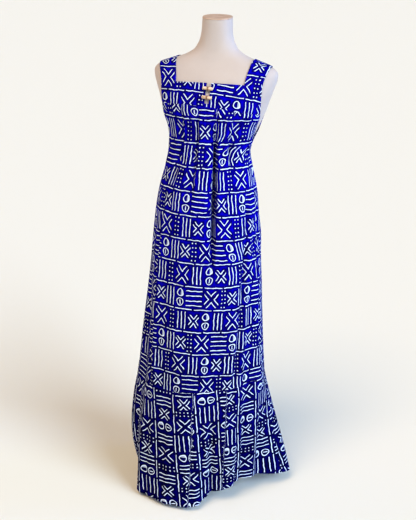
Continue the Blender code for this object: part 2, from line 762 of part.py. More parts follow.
def add_stand(material):
    """Flat cross on the floor and the pole that carries the form."""
    layers = ((0.0, BASE_EDGE), (BASE_EDGE, 0.0),
              (BASE_THICK - BASE_EDGE, 0.0), (BASE_THICK, BASE_EDGE))
    add_stack("stand_base", [cross_ring(height, inset) for height, inset in layers], material)

    foot = BASE_THICK + SEAM_GAP
    head = FORM_FOOT - SEAM_GAP
    profile = ((COLLAR_RADIUS, foot),
               (COLLAR_RADIUS, foot + COLLAR_THICK),
               (COLLAR_SLEEVE, foot + 2.0 * COLLAR_THICK),
               (COLLAR_SLEEVE, foot + COLLAR_HEIGHT - SLEEVE_EDGE),
               (POLE_RADIUS, foot + COLLAR_HEIGHT),
               (POLE_RADIUS, head - FLANGE_HEIGHT),
               (FLANGE_SLEEVE, head - FLANGE_HEIGHT + SLEEVE_EDGE),
               (FLANGE_SLEEVE, head - FLANGE_THICK - SLEEVE_EDGE),
               (FLANGE_RADIUS, head - FLANGE_THICK),
               (FLANGE_RADIUS, head))
    rings = [turned_ring(radius, height, POLE_SIDES) for radius, height in profile]
    add_stack("stand_pole", rings, material)


def add_toggle(name, height, material):
    """Small turned toggle that lies across the slit, waisted for its cord."""
    bases = [form_point_at(x, height, -1) for x in (-SLIT_HALF, 0.0, SLIT_HALF)]
    seat = min(base.y for base in bases)
    ease = EASE_BAND + TOGGLE_RADIUS + SEAM_GAP
    middle = Vector((0.0, seat, height)) + form_normal(bases[1]) * ease
    tilt = math.radians(TOGGLE_TILT)
    length_way = Vector((math.cos(tilt), 0.0, -math.sin(tilt)))
    up_way = Vector((math.sin(tilt), 0.0, math.cos(tilt)))
    out_way = Vector((0.0, 1.0, 0.0))
    right_half = [(station.along, station.radius) for station in TOGGLE_PROFILE]
    left_half = [(-along, radius) for along, radius in reversed(right_half)]
    rings = []
    for along, radius in left_half + right_half:
        centre = middle + length_way * (along * TOGGLE_LENGTH)
        ring = turned_ring(radius * TOGGLE_RADIUS, 0.0, TOGGLE_SIDES)
        rings.append([centre + out_way * point.x + up_way * point.y for point in ring])
    add_stack(name, rings, material)


def main():
    """Build the dress, its form and the stand."""
    for item in list(bpy.data.objects):
        bpy.data.objects.remove(item, do_unlink=True)
    cotton = colour("blue_printed_cotton", 0.07, 0.02, 0.55, 0.75)
    cover = colour("form_cover", 0.88, 0.82, 0.78, 0.65)
    cap = colour("form_cap", 0.74, 0.63, 0.57, 0.60)
    steel = colour("painted_steel", 0.78, 0.77, 0.75, 0.45, metallic=0.3)
    wood = colour("pale_wood", 0.86, 0.77, 0.68, 0.50)

    add_form(cover, cap)
    add_stand(steel)
    shares, outer, inner = yoke_rows(-1, YOKE_SEAM_FRONT, NECK_ANGLE_FRONT)
    add_wall("yoke_front", outer, inner, yoke_cells(shares, slit=True), cotton)
    skirt_panel("skirt_front", -1, outer, inner, shares, cotton)
    shares, outer, inner = yoke_rows(1, YOKE_SEAM_BACK, NECK_ANGLE_BACK)
    add_wall("yoke_back", outer, inner, yoke_cells(shares, slit=False), cotton)
    skirt_panel("skirt_back", 1, outer, inner, shares, cotton)
    flounce_panel("flounce_front", -1, cotton)
    flounce_panel("flounce_back", 1, cotton)
    for name, height in zip(("toggle_upper", "toggle_lower"), TOGGLE_HEIGHTS):
        add_toggle(name, height, wood)


main()
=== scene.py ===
"""Looks of a maxi dress on its limbless form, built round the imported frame.

Metres, +Z up. The dress faces -Y and the wearer's left side is at +X. Each cloth
panel is a thin shell on the outer face of its solid, worked out from the same
sizes, with finer creases, its sewing and its printed cotton.
"""

import logging
import math
from dataclasses import dataclass, field
from enum import Enum
from typing import NamedTuple

import bpy
import numpy as np
from bpy.types import Material, Node, NodeSocket, NodeTree, Object
from mathutils import Matrix, Vector


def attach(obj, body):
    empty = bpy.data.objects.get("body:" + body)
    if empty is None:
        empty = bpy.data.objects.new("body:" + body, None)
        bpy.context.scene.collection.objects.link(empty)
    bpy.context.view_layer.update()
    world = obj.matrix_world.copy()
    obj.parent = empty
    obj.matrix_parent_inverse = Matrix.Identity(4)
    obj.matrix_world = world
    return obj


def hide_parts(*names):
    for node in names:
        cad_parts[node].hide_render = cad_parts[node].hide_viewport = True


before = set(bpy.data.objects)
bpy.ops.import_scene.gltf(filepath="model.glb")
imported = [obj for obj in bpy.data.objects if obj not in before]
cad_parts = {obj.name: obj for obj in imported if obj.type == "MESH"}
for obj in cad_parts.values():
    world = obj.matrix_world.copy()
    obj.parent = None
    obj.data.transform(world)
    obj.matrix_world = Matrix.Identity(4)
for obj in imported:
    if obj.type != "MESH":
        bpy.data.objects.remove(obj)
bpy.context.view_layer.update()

Array = np.ndarray
LOG = logging.getLogger("maxi_dress")
BODY = "root"
GRAIN = "grain"  # UV map of the cloth, in metres along and across the grain
NO_LENGTH = 1e-12  # a vector shorter than this has no direction
NOT_ALONG = (0.3, 0.5, 0.8)  # a direction that no cord starts along

# Sockets that share their names with others, by number
LOW_TONE, HIGH_TONE, MIXED_TONE = 6, 7, 2  # colours of a mix node
SCALE_BY = 3  # factor of a vector sum that scales


def smooth_step(value: Array) -> Array:
    """Ease from 0 to 1 while value runs from 0 to 1."""
    value = np.clip(value, 0.0, 1.0)
    return value * value * (3.0 - 2.0 * value)


def ease(value: Array, start: Array, end: Array) -> Array:
    """Ease from 0 to 1 while value runs from start to end."""
    return smooth_step((value - start) / (end - start))


def mix(low: Array, high: Array, share: Array) -> Array:
    """Value between low and high."""
    return low + (high - low) * share


def bump(offset: Array, half_width: Array) -> Array:
    """Rounded trough, 1 in its middle and 0 from twice half_width on."""
    share = np.minimum(1.0, np.abs(offset) / (2.0 * half_width))
    return (1.0 - share * share) ** 2


def turn_between(angle: Array, other: Array) -> Array:
    """Signed degrees from one angle to another, the short way round."""
    return (angle - other + 180.0) % 360.0 - 180.0


def heading(angle: Array) -> Array:
    """Level unit directions at angles in degrees from +X."""
    turn = np.radians(np.asarray(angle, float))
    return np.stack((np.cos(turn), np.sin(turn), np.zeros_like(turn)), axis=-1)


def unit(vectors: Array) -> Array:
    """Vectors at length 1."""
    return vectors / np.maximum(np.linalg.norm(vectors, axis=-1, keepdims=True), NO_LENGTH)


def turns(sides: int) -> Array:
    """Angles in radians of points spaced evenly round a ring."""
    return np.linspace(0.0, math.tau, sides, endpoint=False)


def stretches(start: float, *parts: tuple) -> Array:
    """Places along a line that is cut into stretches of even cells.

    Args:
        start: Its first place.
        parts: The end of each stretch and how many cells it has.

    Returns:
        All the places, in order.
    """
    places = [np.array([start])]
    for end, cells in parts:
        places.append(np.linspace(places[-1][-1], end, cells + 1)[1:])
    return np.concatenate(places)


class Side(Enum):
    """Half of the dress, and the way along Y that it faces."""

    FRONT = -1
    BACK = 1

    @property
    def start(self) -> float:
        """Angle in degrees at which the half starts, going anticlockwise from above."""
        return 180.0 if self is Side.FRONT else 0.0


class Fold(NamedTuple):
    """Fold of the skirt: it starts at top, is deepest from full to fade, and is gone at end."""

    angle: float
    half_angle: float
    depth: float
    top: float
    full: float
    fade: float
    end: float


class Crease(NamedTuple):
    """Narrow crease, which drifts by some degrees for each metre that it runs down."""

    angle: float
    drift: float
    half_angle: float
    depth: float
    top: float
    full: float
    fade: float
    end: float


class Wave(NamedTuple):
    """Wave of the flounce, deepest at the hem."""

    angle: float
    half_angle: float
    depth: float


class Ripple(NamedTuple):
    """Soft unevenness of hanging cloth: turns round the body, turns for each metre down."""

    round_turns: float
    down_turns: float
    phase: float
    depth: float


class SmoothTable:
    """Table whose columns are read smoothly between its rows, as the solids read them."""

    def __init__(self, rows: tuple, turn: float = 0.0) -> None:
        """Keep the rows and their slopes.

        Args:
            rows: The key and the columns of each row, in rising order of the key.
            turn: Length of one turn of a table that runs round, or 0.
        """
        grid = np.array(rows, float)
        if turn:
            shift = np.zeros(grid.shape[1])
            shift[0] = turn
            grid = np.vstack((grid[-1:] - shift, grid, grid[:2] + shift))
        self.turn = turn
        self.keys = grid[:, 0]
        self.values = grid[:, 1:]
        self.gaps = np.diff(self.keys)
        self.slopes = np.diff(self.values, axis=0) / self.gaps[:, None]

    def read(self, key: Array) -> Array:
        """Columns at any key.

        Args:
            key: Places to read the table at.

        Returns:
            One array for each column, with the shape of key.
        """
        key = np.asarray(key, float)
        if self.turn:
            key = key % self.turn
        key = np.clip(key, self.keys[0], self.keys[-1])
        last = len(self.gaps) - 1
        index = np.clip(np.searchsorted(self.keys, key, side="right") - 1, 0, last)
        gap = self.gaps[index][..., None]
        share = (key - self.keys[index])[..., None] / gap
        slope = self.slopes[index]
        leaving = 0.5 * (self.slopes[np.maximum(index - 1, 0)] + slope) * gap
        arriving = 0.5 * (slope + self.slopes[np.minimum(index + 1, last)]) * gap
        square = share * share
        cube = square * share
        value = (self.values[index] * (2 * cube - 3 * square + 1)
                 + leaving * (cube - 2 * square + share)
                 + self.values[index + 1] * (3 * square - 2 * cube)
                 + arriving * (cube - square))
        return np.moveaxis(value, -1, 0)


# Rounded sections of the form: height, half width, depth in front and behind
FORM_SECTIONS = (
    (0.705, 0.1500, 0.108, 0.108),
    (0.780, 0.1570, 0.112, 0.112),
    (0.860, 0.1600, 0.112, 0.112),
    (0.930, 0.1520, 0.108, 0.108),
    (1.000, 0.1340, 0.100, 0.094),
    (1.070, 0.1160, 0.092, 0.077),
    (1.120, 0.1110, 0.090, 0.072),
    (1.170, 0.1150, 0.098, 0.076),
    (1.220, 0.1360, 0.113, 0.090),
    (1.270, 0.1570, 0.121, 0.096),
    (1.310, 0.1700, 0.114, 0.098),
    (1.345, 0.1820, 0.099, 0.096),
    (1.375, 0.1905, 0.083, 0.088),
    (1.395, 0.1880, 0.070, 0.078),
    (1.410, 0.1690, 0.062, 0.070),
    (1.424, 0.1300, 0.056, 0.064),
    (1.438, 0.0930, 0.052, 0.061),
    (1.452, 0.0700, 0.049, 0.058),
    (1.470, 0.0570, 0.047, 0.054),
    (1.490, 0.0495, 0.046, 0.049),
    (1.520, 0.0460, 0.046, 0.044),
    (1.548, 0.0455, 0.047, 0.042),
)

# Level sections of the hanging skirt: height, half width, half depth, centre x and y
SKIRT_SECTIONS = (
    (0.360, 0.2180, 0.188, -0.005, -0.038),
    (0.480, 0.2053, 0.182, -0.005, -0.038),
    (0.622, 0.1937, 0.176, -0.005, -0.036),
    (0.762, 0.1815, 0.169, -0.005, -0.033),
    (0.898, 0.1690, 0.157, -0.005, -0.030),
    (1.030, 0.1535, 0.138, -0.006, -0.026),
    (1.100, 0.1380, 0.120, -0.006, -0.024),
    (1.160, 0.1286, 0.106, -0.007, -0.021),
    (1.230, 0.1390, 0.106, -0.006, -0.018),
    (1.300, 0.1520, 0.108, -0.002, -0.012),
)

# Broad folds, as the solids have them. Angles run round the body from +X.
SKIRT_FOLDS = (
    Fold(285.0, 4.6, 0.0130, 1.272, 1.215, 1.05, 0.80),
    Fold(255.0, 4.6, 0.0080, 1.268, 1.195, 1.12, 0.95),
    Fold(311.0, 4.2, 0.0085, 1.262, 1.215, 1.18, 1.03),
    Fold(229.0, 4.2, 0.0095, 1.262, 1.215, 1.17, 1.02),
    Fold(325.0, 8.0, 0.0090, 0.950, 0.66, 0.45, 0.20),
    Fold(338.0, 6.0, -0.0060, 0.900, 0.62, 0.45, 0.20),
    Fold(229.0, 7.0, -0.0070, 0.880, 0.60, 0.45, 0.20),
    Fold(213.0, 8.0, 0.0120, 0.860, 0.60, 0.45, 0.20),
    Fold(292.0, 8.0, 0.0050, 0.780, 0.52, 0.45, 0.20),
    Fold(262.0, 9.0, -0.0040, 0.820, 0.56, 0.45, 0.20),
    Fold(72.0, 4.6, 0.0090, 1.268, 1.200, 1.10, 0.86),
    Fold(106.0, 4.6, 0.0100, 1.268, 1.200, 1.08, 0.82),
    Fold(48.0, 9.0, 0.0080, 0.930, 0.62, 0.45, 0.20),
    Fold(90.0, 9.0, -0.0060, 0.930, 0.60, 0.45, 0.20),
    Fold(128.0, 8.0, 0.0090, 0.900, 0.60, 0.45, 0.20),
    Fold(156.0, 7.0, -0.0060, 0.860, 0.58, 0.45, 0.20),
)

# The hem from above: angle, radius, height, and the swell of the flounce above it
HEM_OUTLINE = (
    (0.0, 0.280, 0.046, 0.000),
    (9.0, 0.310, 0.037, 0.000),
    (18.0, 0.272, 0.036, 0.002),
    (30.0, 0.234, 0.038, 0.004),
    (45.0, 0.236, 0.036, 0.004),
    (60.0, 0.208, 0.034, 0.006),
    (76.0, 0.204, 0.032, 0.004),
    (90.0, 0.182, 0.032, 0.006),
    (104.0, 0.200, 0.030, 0.004),
    (119.0, 0.194, 0.030, 0.006),
    (134.0, 0.222, 0.030, 0.006),
    (150.0, 0.214, 0.030, 0.010),
    (165.0, 0.228, 0.030, 0.020),
    (180.0, 0.220, 0.030, 0.028),
    (194.0, 0.208, 0.028, 0.032),
    (210.0, 0.220, 0.021, 0.023),
    (227.0, 0.257, 0.018, 0.006),
    (242.0, 0.256, 0.018, 0.002),
    (258.0, 0.257, 0.018, 0.000),
    (272.0, 0.254, 0.018, 0.000),
    (282.0, 0.233, 0.024, 0.000),
    (292.0, 0.208, 0.038, 0.002),
    (303.0, 0.196, 0.052, 0.006),
    (314.0, 0.198, 0.062, 0.008),
    (326.0, 0.208, 0.066, 0.006),
    (338.0, 0.216, 0.064, 0.002),
    (349.0, 0.236, 0.058, 0.000),
)

# Waves of the flounce, as the solids have them
FLOUNCE_WAVES = (
    Wave(291.0, 6.0, 0.018),
    Wave(327.0, 5.5, 0.017),
    Wave(213.0, 7.0, 0.018),
    Wave(243.0, 6.0, 0.008),
    Wave(266.0, 6.5, 0.009),
    Wave(309.0, 5.5, -0.008),
    Wave(345.0, 5.5, 0.011),
    Wave(22.0, 6.5, 0.012),
    Wave(40.0, 7.0, -0.007),
    Wave(57.0, 6.5, 0.012),
    Wave(88.0, 7.0, 0.012),
    Wave(117.0, 6.5, 0.011),
    Wave(136.0, 7.0, -0.006),
    Wave(154.0, 6.5, 0.010),
    Wave(194.0, 6.0, 0.006),
)

# Creases too narrow for the solids: released tucks, pulls under the yoke and the
# long slanted folds. A negative depth is a ridge.
SKIRT_CREASES = (
    Crease(286.9, 3.0, 1.9, 0.0260, 1.297, 1.280, 0.94, 0.74),
    Crease(291.0, 3.0, 2.2, -0.0065, 1.292, 1.240, 1.08, 0.92),
    Crease(283.2, 2.0, 2.4, -0.0050, 1.290, 1.240, 1.12, 0.98),
    Crease(258.6, -3.0, 1.7, 0.0085, 1.296, 1.250, 1.12, 1.00),
    Crease(262.6, -3.0, 2.0, -0.0022, 1.290, 1.245, 1.16, 1.05),
    Crease(232.6, 0.0, 1.8, 0.0070, 1.290, 1.250, 1.17, 1.04),
    Crease(237.5, 0.0, 2.4, -0.0024, 1.285, 1.245, 1.18, 1.10),
    Crease(311.2, 6.0, 1.6, 0.0070, 1.290, 1.250, 1.17, 1.05),
    Crease(306.5, 4.0, 2.2, -0.0024, 1.285, 1.245, 1.19, 1.10),
    Crease(298.5, 8.0, 1.4, 0.0032, 1.294, 1.262, 1.22, 1.14),
    Crease(246.5, -6.0, 1.3, 0.0028, 1.293, 1.262, 1.23, 1.16),
    Crease(271.0, 2.0, 1.2, 0.0022, 1.295, 1.268, 1.25, 1.19),
    Crease(328.5, 36.0, 2.1, 0.0085, 1.080, 0.97, 0.46, 0.38),
    Crease(333.5, 36.0, 2.6, -0.0035, 1.050, 0.94, 0.50, 0.40),
    Crease(347.5, 10.0, 2.2, 0.0050, 1.090, 0.96, 0.60, 0.42),
    Crease(222.5, -14.0, 2.0, 0.0090, 1.050, 0.90, 0.47, 0.38),
    Crease(228.0, -14.0, 2.6, -0.0040, 1.020, 0.86, 0.50, 0.38),
    Crease(207.0, -6.0, 2.4, 0.0050, 0.960, 0.82, 0.55, 0.40),
    Crease(72.0, -4.0, 1.7, 0.0085, 1.290, 1.240, 1.05, 0.86),
    Crease(106.5, 3.0, 1.6, 0.0095, 1.292, 1.245, 1.02, 0.82),
    Crease(110.5, 3.0, 2.2, -0.0030, 1.288, 1.240, 1.10, 0.94),
    Crease(88.0, 5.0, 1.4, 0.0040, 1.292, 1.255, 1.20, 1.10),
    Crease(54.0, -8.0, 1.8, 0.0055, 1.285, 1.245, 1.16, 1.02),
    Crease(126.5, 6.0, 1.8, 0.0050, 1.285, 1.245, 1.18, 1.05),
    Crease(42.0, 22.0, 2.4, 0.0060, 1.000, 0.88, 0.52, 0.40),
    Crease(136.0, -18.0, 2.2, 0.0070, 0.980, 0.85, 0.50, 0.39),
    Crease(96.0, -9.0, 2.6, 0.0040, 0.900, 0.76, 0.50, 0.40),
)

# Cores of the flounce's folds, sharper than its waves
FLOUNCE_CORES = (
    Wave(284.5, 1.9, 0.0090),
    Wave(293.0, 2.2, 0.0100),
    Wave(318.0, 2.2, 0.0080),
    Wave(326.0, 2.4, 0.0070),
    Wave(346.0, 2.6, 0.0060),
    Wave(275.5, 1.7, 0.0035),
    Wave(252.0, 2.2, 0.0030),
    Wave(235.0, 2.2, 0.0060),
    Wave(213.0, 2.6, 0.0070),
    Wave(22.0, 2.6, 0.0060),
    Wave(57.0, 2.4, 0.0060),
    Wave(88.0, 2.6, 0.0060),
    Wave(117.0, 2.4, 0.0055),
    Wave(150.0, 2.4, 0.0050),
)

RIPPLES = (
    Ripple(5.0, 1.3, 0.4, 0.0011),
    Ripple(9.0, -2.1, 2.2, 0.0008),
    Ripple(14.0, 3.2, 4.1, 0.0006),
    Ripple(23.0, 4.7, 1.3, 0.0003),
)


# Rounded lower edge of the form: height above its foot, and how far it is drawn in
FOOT_EDGE = ((0.0, 0.0060), (0.0006, 0.0030), (0.0022, 0.0008), (0.005, 0.0))

# Outline of the neck cap: how far it is drawn in, and height above the neck
CAP_EDGE = ((0.0012, 0.0003), (0.0004, 0.0009), (0.0002, 0.0016), (0.0004, 0.0026),
            (0.0010, 0.0034), (0.0024, 0.0039), (0.0060, 0.0041), (0.0200, 0.0042))


@dataclass
class DressForm:
    """Limbless dress form: jersey-covered torso with a turned cap on its neck."""

    squareness: float = 2.25  # 2 gives an ellipse, and more a squarer section
    foot: float = 0.705
    neck_top: float = 1.546
    neck_lean: float = -0.13
    neck_inset: float = 0.0006
    end_room: float = 0.010  # height left to the edges above and below the even rings
    widest: float = 0.4  # further than any point of the form is from its middle
    halvings: int = 26
    probe: float = 0.0008
    sides: int = 144
    rings: int = 190
    sections: SmoothTable = field(default_factory=lambda: SmoothTable(FORM_SECTIONS))

    def excess(self, points: Array) -> Array:
        """How far outside the form points are.

        Args:
            points: Places in the room.

        Returns:
            Below 0 inside the form, 0 on its surface and above 0 outside.
        """
        half, front, back = self.sections.read(points[..., 2])
        depth = np.where(points[..., 1] < 0, front, back)
        across = np.abs(points[..., 0] / half) ** self.squareness
        value = across + np.abs(points[..., 1] / depth) ** self.squareness - 1.0
        return np.where(points[..., 2] > FORM_SECTIONS[-1][0], 1.0, value)

    def reach(self, centre: Array, way: Array) -> Array:
        """Distance from places inside the form to its surface.

        Args:
            centre: Places inside the form.
            way: Unit direction to look in from each.

        Returns:
            Distance from each place.
        """
        near = np.zeros(np.broadcast_shapes(centre.shape, way.shape)[:-1])
        far = np.full_like(near, self.widest)
        for _ in range(self.halvings):
            middle = 0.5 * (near + far)
            inside = self.excess(centre + way * middle[..., None]) < 0
            near = np.where(inside, middle, near)
            far = np.where(inside, far, middle)
        return near

    def normal(self, points: Array) -> Array:
        """Outward direction of the form's surface.

        Args:
            points: Places on the surface.

        Returns:
            Unit direction at each.
        """
        slopes = [self.excess(points + axis) - self.excess(points - axis)
                  for axis in np.eye(3) * self.probe]
        return unit(np.stack(slopes, axis=-1))

    def at(self, x: Array, height: Array, side: Side) -> Array:
        """Points on the form's front or back.

        Args:
            x: Place across the form.
            height: Height above the floor.
            side: Front or back.

        Returns:
            One point for each x and height.
        """
        half, front, back = self.sections.read(height)
        depth = front if side is Side.FRONT else back
        share = np.maximum(1.0 - np.abs(x / half) ** self.squareness, 0.0)
        y = side.value * depth * share ** (1.0 / self.squareness)
        return np.stack((x + 0 * y, y, height + 0 * y), axis=-1)

    def ring(self, height: float, inset: float = 0.0) -> Array:
        """Points round the form.

        Args:
            height: Height above the floor.
            inset: How far the ring is drawn in.

        Returns:
            The ring, anticlockwise from above.
        """
        half, front, back = self.sections.read(height)
        across, along = np.cos(turns(self.sides)), np.sin(turns(self.sides))
        depth = np.where(along < 0, front, back) - inset
        power = 2.0 / self.squareness
        x = np.sign(across) * np.abs(across) ** power * (half - inset)
        y = np.sign(along) * np.abs(along) ** power * depth
        return np.stack((x, y, np.full_like(x, height)), axis=-1)

    def neck_ring(self, inset: float, rise: float = 0.0) -> Array:
        """Ring on the sloping plane at the top of the neck.

        Args:
            inset: How far the ring is drawn in.
            rise: Height above the plane.

        Returns:
            The ring.
        """
        laid = self.ring(self.neck_top, inset)
        laid[:, 2] = self.neck_top + rise - self.neck_lean * laid[:, 1]
        return laid

    def build(self, cover: Material, wood: Material) -> None:
        """Make the torso and the cap in place of their plain solids.

        Args:
            cover: Jersey of the torso.
            wood: Finish of the neck cap.
        """
        rings = [self.ring(self.foot + rise, inset) for rise, inset in FOOT_EDGE]
        heights = np.linspace(self.foot + self.end_room, self.neck_top - self.end_room,
                              self.rings)
        rings += [self.ring(height) for height in heights]
        rings.append(self.neck_ring(self.neck_inset))
        torso = stack_object("torso_cover", rings, cover)
        dress_piece(torso, "form_cover", "form_torso")
        layers = [self.neck_ring(inset, rise) for inset, rise in CAP_EDGE]
        cap = stack_object("neck_cap", layers, wood)
        dress_piece(cap, "form_cap", "form_neck_cap")


@dataclass
class DressCut:
    """Sizes and surfaces that the cloth panels share. Heights are above the floor."""

    form: DressForm
    axis_y: float = -0.015
    gap: float = 0.0003
    cloth: float = 0.0011
    ease_band: float = 0.0040
    ease_strap: float = 0.0026
    yoke_front: float = 1.296
    yoke_back: float = 1.300
    yoke_half: float = 0.147
    yoke_drop: float = 0.0135
    yoke_tilt: float = 0.071
    slit_foot: float = 0.008
    fan_height: float = 1.345
    armhole_foot: float = 1.176
    armhole_power: float = 0.85
    flounce_seam: float = 0.410
    flounce_tilt: float = 0.090
    hang_from: float = 1.262  # the cloth leaves the form here
    hang_full: float = 1.160  # and hangs freely from here on
    ripple_from: float = 1.290
    ripple_full: float = 1.260
    full_from: float = 1.285  # the fullness of the tucks starts, is greatest and ends
    full_most: float = 1.225
    full_end: float = 0.900
    full_half: float = 30.0
    full_out: float = 0.0100
    clear_top: float = 0.0030  # least distance from the form, above and below
    clear_hang: float = 0.0058
    least_slant: float = 0.6
    wave_power: float = 1.3  # how the flounce's waves, swell and cores grow to the hem
    swell_power: float = 1.2
    core_full: float = 1 / 2.2
    core_drift: float = 5.0
    crumple_full: float = 1 / 5.0
    flounce_fall: float = 0.4
    seam_rounds: int = 6
    lift_x: float = -0.118  # the back panels lift off the form past this x
    lift_over: float = 0.034
    lift_height: float = 1.268
    lift_half: float = 0.036
    lift_out: float = 0.0060
    skirt: SmoothTable = field(default_factory=lambda: SmoothTable(SKIRT_SECTIONS))
    hem: SmoothTable = field(default_factory=lambda: SmoothTable(HEM_OUTLINE, 360.0))

    def yoke_seam(self, x: Array, side: Side) -> Array:
        """Height of the yoke seam at x."""
        centre = self.yoke_front if side is Side.FRONT else self.yoke_back
        return centre - self.yoke_drop * (x / self.yoke_half) ** 2 - self.yoke_tilt * x

    def ring_radius(self, angle: Array, height: Array) -> Array:
        """Radius of the freely hanging skirt, before its folds.

        Args:
            angle: Degrees round the body.
            height: Height above the floor.

        Returns:
            Distance from the dress's axis.
        """
        half_width, half_depth, centre_x, centre_y = self.skirt.read(height)
        way = heading(angle)
        start_x = -centre_x / half_width
        start_y = (self.axis_y - centre_y) / half_depth
        way_x = way[..., 0] / half_width
        way_y = way[..., 1] / half_depth
        square = way_x ** 2 + way_y ** 2
        half = start_x * way_x + start_y * way_y
        constant = start_x ** 2 + start_y ** 2 - 1.0
        return (-half + np.sqrt(half * half - square * constant)) / square

    def fold_depth(self, angle: Array, height: Array) -> Array:
        """Inward depth of the broad folds and of the creases.

        Args:
            angle: Degrees round the body.
            height: Height above the floor.

        Returns:
            Depth of all of them together.
        """
        depth = np.zeros(np.broadcast_shapes(angle.shape, height.shape))
        for fold in (*SKIRT_FOLDS, *SKIRT_CREASES):
            drift = fold.drift if isinstance(fold, Crease) else 0.0
            middle = fold.angle - drift * (fold.full - height)
            across = bump(turn_between(angle, middle), fold.half_angle)
            along = np.where(height > fold.full, ease(height, fold.top, fold.full),
                             ease(height, fold.end, fold.fade))
            depth = depth + fold.depth * across * along
        return depth

    def fullness(self, angle: Array, height: Array) -> Array:
        """Outward swell of the cloth that the tucks let out.

        Args:
            angle: Degrees round the body.
            height: Height above the floor.

        Returns:
            How far the cloth stands out.
        """
        across = np.maximum(*(bump(turn_between(angle, side.start + 90.0), self.full_half)
                              for side in Side))
        along = np.where(height > self.full_most, ease(height, self.full_from, self.full_most),
                         ease(height, self.full_end, self.full_most))
        return self.full_out * across * along

    def ripple(self, angle: Array, height: Array) -> Array:
        """Soft unevenness of the hanging cloth.

        Args:
            angle: Degrees round the body.
            height: Height above the floor.

        Returns:
            How far the cloth stands out.
        """
        turn = np.radians(angle)
        return sum(item.depth * np.sin(item.round_turns * turn + item.phase
                                       + math.tau * item.down_turns * height)
                   for item in RIPPLES)

    def skirt_points(self, angle: Array, height: Array) -> Array:
        """Outer face of the skirt.

        Args:
            angle: Degrees round the body.
            height: Height above the floor.

        Returns:
            One point for each angle and height.
        """
        way = heading(angle)
        centre = np.zeros_like(way)
        centre[..., 1] = self.axis_y
        centre[..., 2] = height
        hang = ease(height, self.hang_from, self.hang_full)
        over_form = height > self.form.foot
        foot = np.where(over_form, self.form.reach(centre, way), 0.0)
        normal = self.form.normal(centre + way * foot[..., None])
        normal[..., 2] = 0.0
        slant = np.maximum(np.sum(unit(normal) * way, axis=-1), self.least_slant)
        radius = mix(foot + self.ease_band / slant, self.ring_radius(angle, height), hang)
        radius = radius + self.fullness(angle, height) - self.fold_depth(angle, height)
        loose = ease(height, self.ripple_from, self.ripple_full)
        radius = radius + loose * self.ripple(angle, height)
        lift = foot + mix(self.clear_top, self.clear_hang, hang) - radius
        radius = radius + np.where(over_form, np.maximum(0.0, lift), 0.0)
        return centre + way * radius[..., None]

    def flounce_height(self, x: Array) -> Array:
        """Height of the tilted flounce seam at x."""
        return self.flounce_seam + self.flounce_tilt * x

    def seam_points(self, angle: Array) -> Array:
        """Outer face of the skirt on the flounce seam.

        Args:
            angle: Degrees round the body.

        Returns:
            One point for each angle.
        """
        height = np.full(angle.shape, self.flounce_seam)
        for _ in range(self.seam_rounds):
            height = self.flounce_height(self.skirt_points(angle, height)[..., 0])
        return self.skirt_points(angle, height)

    def flounce_points(self, angle: Array, share: Array) -> Array:
        """Outer face of the flounce.

        Args:
            angle: Degrees round the body.
            share: 0 at the flounce's seam and 1 at its hem.

        Returns:
            One point for each angle and share.
        """
        top = self.seam_points(angle[..., :1])
        radius, height, swell = self.hem.read(angle)
        top_radius = np.hypot(top[..., 0], top[..., 1] - self.axis_y)
        wave = np.zeros(angle.shape)
        for item in FLOUNCE_WAVES:
            across = bump(turn_between(angle, item.angle), item.half_angle)
            wave = wave + item.depth * across * share ** self.wave_power
        for item in FLOUNCE_CORES:
            middle = item.angle - self.core_drift * (1.0 - share)
            across = bump(turn_between(angle, middle), item.half_angle)
            wave = wave + item.depth * across * smooth_step(share / self.core_full)
        swell = swell * np.sin(math.pi * share ** self.swell_power)
        crumple = self.ripple(angle, self.flounce_fall * (1.0 - share))
        reach = mix(top_radius, radius, share) + swell - wave
        reach = reach + smooth_step(share / self.crumple_full) * crumple
        points = heading(angle) * reach[..., None]
        points[..., 1] += self.axis_y
        points[..., 2] = mix(top[..., 2], height, share)
        return points

    def lifted(self, points: Array, side: Side) -> Array:
        """Back panels lifted off the form at the wearer's right armhole, as cloth hangs.

        Args:
            points: A face of a panel.
            side: Front or back, of which the front stays as it is.

        Returns:
            The face, lifted.
        """
        if side is Side.FRONT:
            return points
        angle = np.degrees(np.arctan2(points[..., 1] - self.axis_y, points[..., 0]))
        near = ease(points[..., 0], self.lift_x, self.lift_x - self.lift_over)
        lift = self.lift_out * near * bump(points[..., 2] - self.lift_height, self.lift_half)
        return points + heading(angle) * lift[..., None]


def linear(colour: str, alpha: float = 1.0) -> tuple:
    """Linear colour of an sRGB hex value.

    Args:
        colour: The value, such as "16008C".
        alpha: Fourth value of the result.

    Returns:
        Red, green, blue and alpha.
    """
    values = [int(colour[place:place + 2], 16) / 255.0 for place in (0, 2, 4)]
    # The sRGB curve: straight near black, and a power above it
    return (*(((value + 0.055) / 1.055) ** 2.4 if value > 0.04045 else value / 12.92
              for value in values), alpha)


def dress_piece(item: Object, slot: str, *nodes: str) -> None:
    """Let a piece ride with the dress and hide the solids it stands for.

    Args:
        item: The piece.
        slot: Not used.
        nodes: Solids that the piece stands for.
    """
    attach(item, BODY)
    if nodes:
        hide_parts(*nodes)
    LOG.info("%s: %d faces", item.name, len(item.data.polygons))


